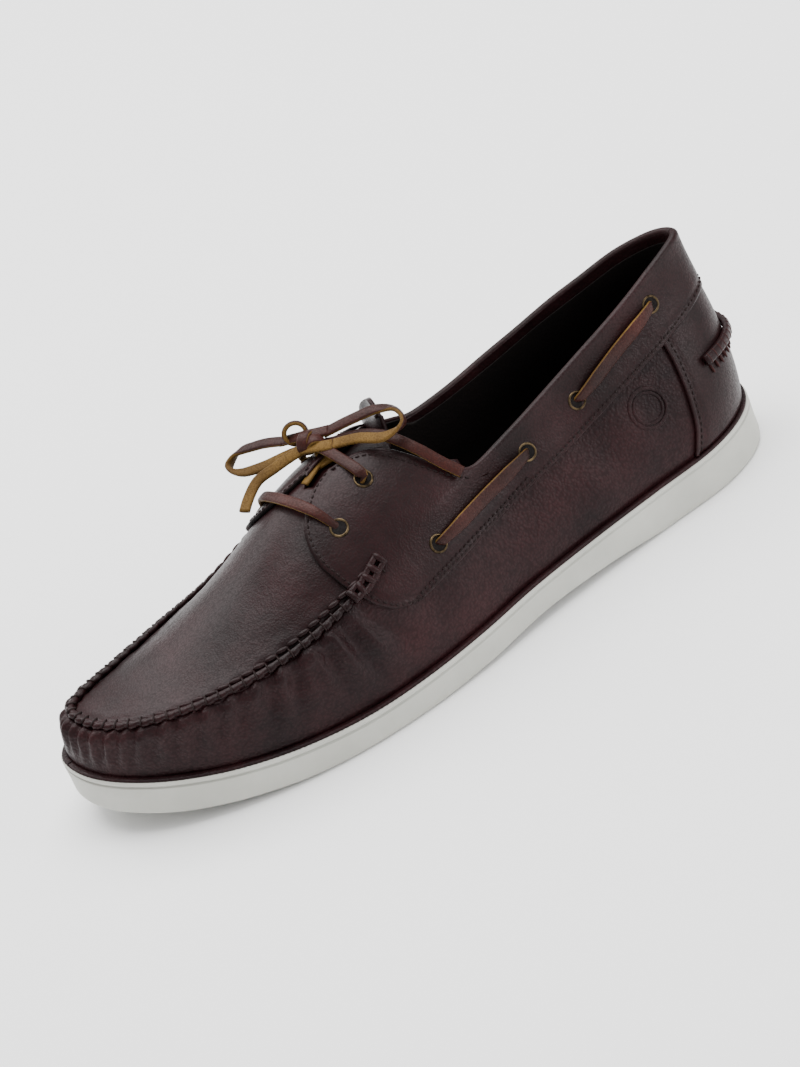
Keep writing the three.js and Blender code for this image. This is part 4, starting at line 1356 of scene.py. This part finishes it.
def plate(name, start, end, columns, rows, cut, lift):
    """A part of the bottom between two places along the sole, cut by a pattern."""
    def place(u, v):
        x = start + (end - start) * u
        turn = turn_at(SOLE, LENGTH / 2 + (x - LENGTH / 2) / (1 - 2 * RIM_BAND / LENGTH))
        outer = look_up(SOLE, "outer", turn) * (1 - RIM_BAND / HALF_WIDTH)
        inner = look_up(SOLE, "inner", turn) * (1 - RIM_BAND / HALF_WIDTH)
        y = inner + (outer - inner) * v
        edge = np.minimum(np.minimum(y - inner, outer - y), np.minimum(x - start, end - x))
        z = sole_under(x) + lift + cut(x, y) * np.clip(edge / 1.5 - 0.5, 0, 1)
        return to_row(np.stack([x, y, z], -1))
    bm = bmesh.new()
    grid(bm, columns, rows, place)
    outwards(bm, (0, 0, 0.5))
    piece = keep(bm, name, RUBBER)
    thicken(piece, 2.5)
    return piece


plate("tread_ball", 138, 293.5, 244, 88, slits, 0.05)
plate("tread_heel", 6.5, 74, 104, 56, slits, 0.05)
plate("arch_plate", 74, 138, 64, 60, panel_groove, 0.6)

# %% The dark line where leather meets rubber
FEATHER_OUT, FEATHER_SEWN = 1.1, 2.2   # mm outside the upper's foot: the strip, and its stitches
FEATHER_PITCH = 2.1

feather_mesh = bmesh.new()
feather_around = np.linspace(0, 2, 361)
fx, fy = sole_edge(feather_around, FEATHER - FEATHER_OUT)
feather_line = np.stack([fx, fy, sole_top(fx) + 0.35], -1)
strip(feather_mesh, feather_line, (0, 0, 1), wide=2.7, thick=1.5)
bmesh.ops.recalc_face_normals(feather_mesh, faces=feather_mesh.faces)
one_finish(feather_mesh)
feather = keep(feather_mesh, "feather_line", QUARTER_LEATHER, weld=0.001)
feather_thread = bmesh.new()
sew_around = np.linspace(0.45, 1.55, 400)
ex, ey = sole_edge(sew_around, FEATHER - FEATHER_SEWN)
edge_points = np.stack([ex, ey, sole_top(ex) + 0.25], -1)
edge_run = run_of(edge_points)
for at in np.arange(0.5, edge_run[-1], FEATHER_PITCH):
    spot = np.array([np.interp(at, edge_run, c) for c in edge_points.T])
    near = np.array([np.interp(at + 1, edge_run, c) for c in edge_points.T])
    bead(feather_thread, spot, unit(near - spot), np.array([0.0, 0.0, 1.0]), (0.7, 0.4, 0.3))
keep(feather_thread, "feather_stitches", DARK_THREAD, weld=0.0001)

# %% [markdown]
# ## The bare badge
# A round badge is pressed into the quarter near the heel. Here it is two plain rings with
# nothing inside.

# %% Two pressed rings
BADGE = (0.258, 0.43)
BADGE_RADII = ((7.6, 0.62), (5.9, 0.45))
badge_mesh = bmesh.new()
badge_middle = last_point(np.array([BADGE[0]]), np.array([BADGE[1]]))[0]
badge_way = facing(np.array([BADGE[0]]), np.array([BADGE[1]]))[0]
badge_x = unit(np.cross((0, 0, 1.0), badge_way))
badge_y = np.cross(badge_way, badge_x)
around_grid, up_grid = np.meshgrid(np.linspace(0.19, 0.33, 60), np.linspace(0.2, 0.7, 60))
near_points = last_point(around_grid.ravel(), up_grid.ravel())
near_ways = facing(around_grid.ravel(), up_grid.ravel())
for radius, wire in BADGE_RADII:
    turn = np.linspace(0, 2 * math.pi, 73)[:, None]
    ring = badge_middle + (badge_x * np.cos(turn) + badge_y * np.sin(turn)) * radius
    nearest = np.linalg.norm(ring[:, None] - near_points[None], axis=2).argmin(axis=1)
    normals = near_ways[nearest]
    gap = np.sum((ring - near_points[nearest]) * normals, axis=1, keepdims=True)
    ring = ring - normals * gap
    tall = waves(ring)[:, None] + 0.1
    strip(badge_mesh, ring + normals * tall, normals, wide=wire * 2.4, thick=wire * 1.6)
bmesh.ops.recalc_face_normals(badge_mesh, faces=badge_mesh.faces)
one_finish(badge_mesh)
badge = keep(badge_mesh, "plain_badge_rings", QUARTER_LEATHER, weld=0.0001)

# %% [markdown]
# ## Studio
# A pale floor and large soft lights, as in a catalogue. One hangs overhead, one grazes the
# apron from the far side, and one lights the quarter from the heel.

# %% Floor
# Matt and nearly white: it takes a soft shadow and gives back no glare.
floor_finish, floor_tree, floor_shader, floor_place = new_finish("pale_studio_floor", 0.9)
floor_colour = between(floor_tree, clouds(floor_tree, floor_place, 400), "#fbfbfb", "#fefefe")
floor_tree.links.new(floor_colour, floor_shader.inputs["Base Color"])
floor_mesh = bmesh.new()
bmesh.ops.create_grid(floor_mesh, x_segments=1, y_segments=1, size=4)
floor_data = bpy.data.meshes.new("floor")
floor_mesh.to_mesh(floor_data)
floor_mesh.free()
floor = bpy.data.objects.new("floor", floor_data)
bpy.context.scene.collection.objects.link(floor)
floor_data.materials.append(floor_finish)


# %% Lights
def softbox(name, place, aim, size, power):
    """A square soft light that looks at a point, all in metres."""
    data = bpy.data.lights.new(name, "AREA")
    data.energy = power
    data.size = size
    lamp = bpy.data.objects.new(name, data)
    bpy.context.scene.collection.objects.link(lamp)
    lamp.location = place
    lamp.rotation_mode = "QUATERNION"
    lamp.rotation_quaternion = (Vector(aim) - Vector(place)).to_track_quat("-Z", "Y")


softbox("overhead", (-0.2, -0.4, 1.9), (0, 0, 0), 2.0, 84)
softbox("far_side", (0.45, -1.0, 0.8), (0.03, 0, 0.05), 0.7, 6)
softbox("heel_side", (-1.0, 0.9, 0.55), (-0.05, 0, 0.03), 0.6, 9)
world = bpy.data.worlds.new("studio")
world.use_nodes = True
world.node_tree.nodes["Background"].inputs[0].default_value = (1, 1, 1, 1)
world.node_tree.nodes["Background"].inputs[1].default_value = 0.82
bpy.context.scene.world = world
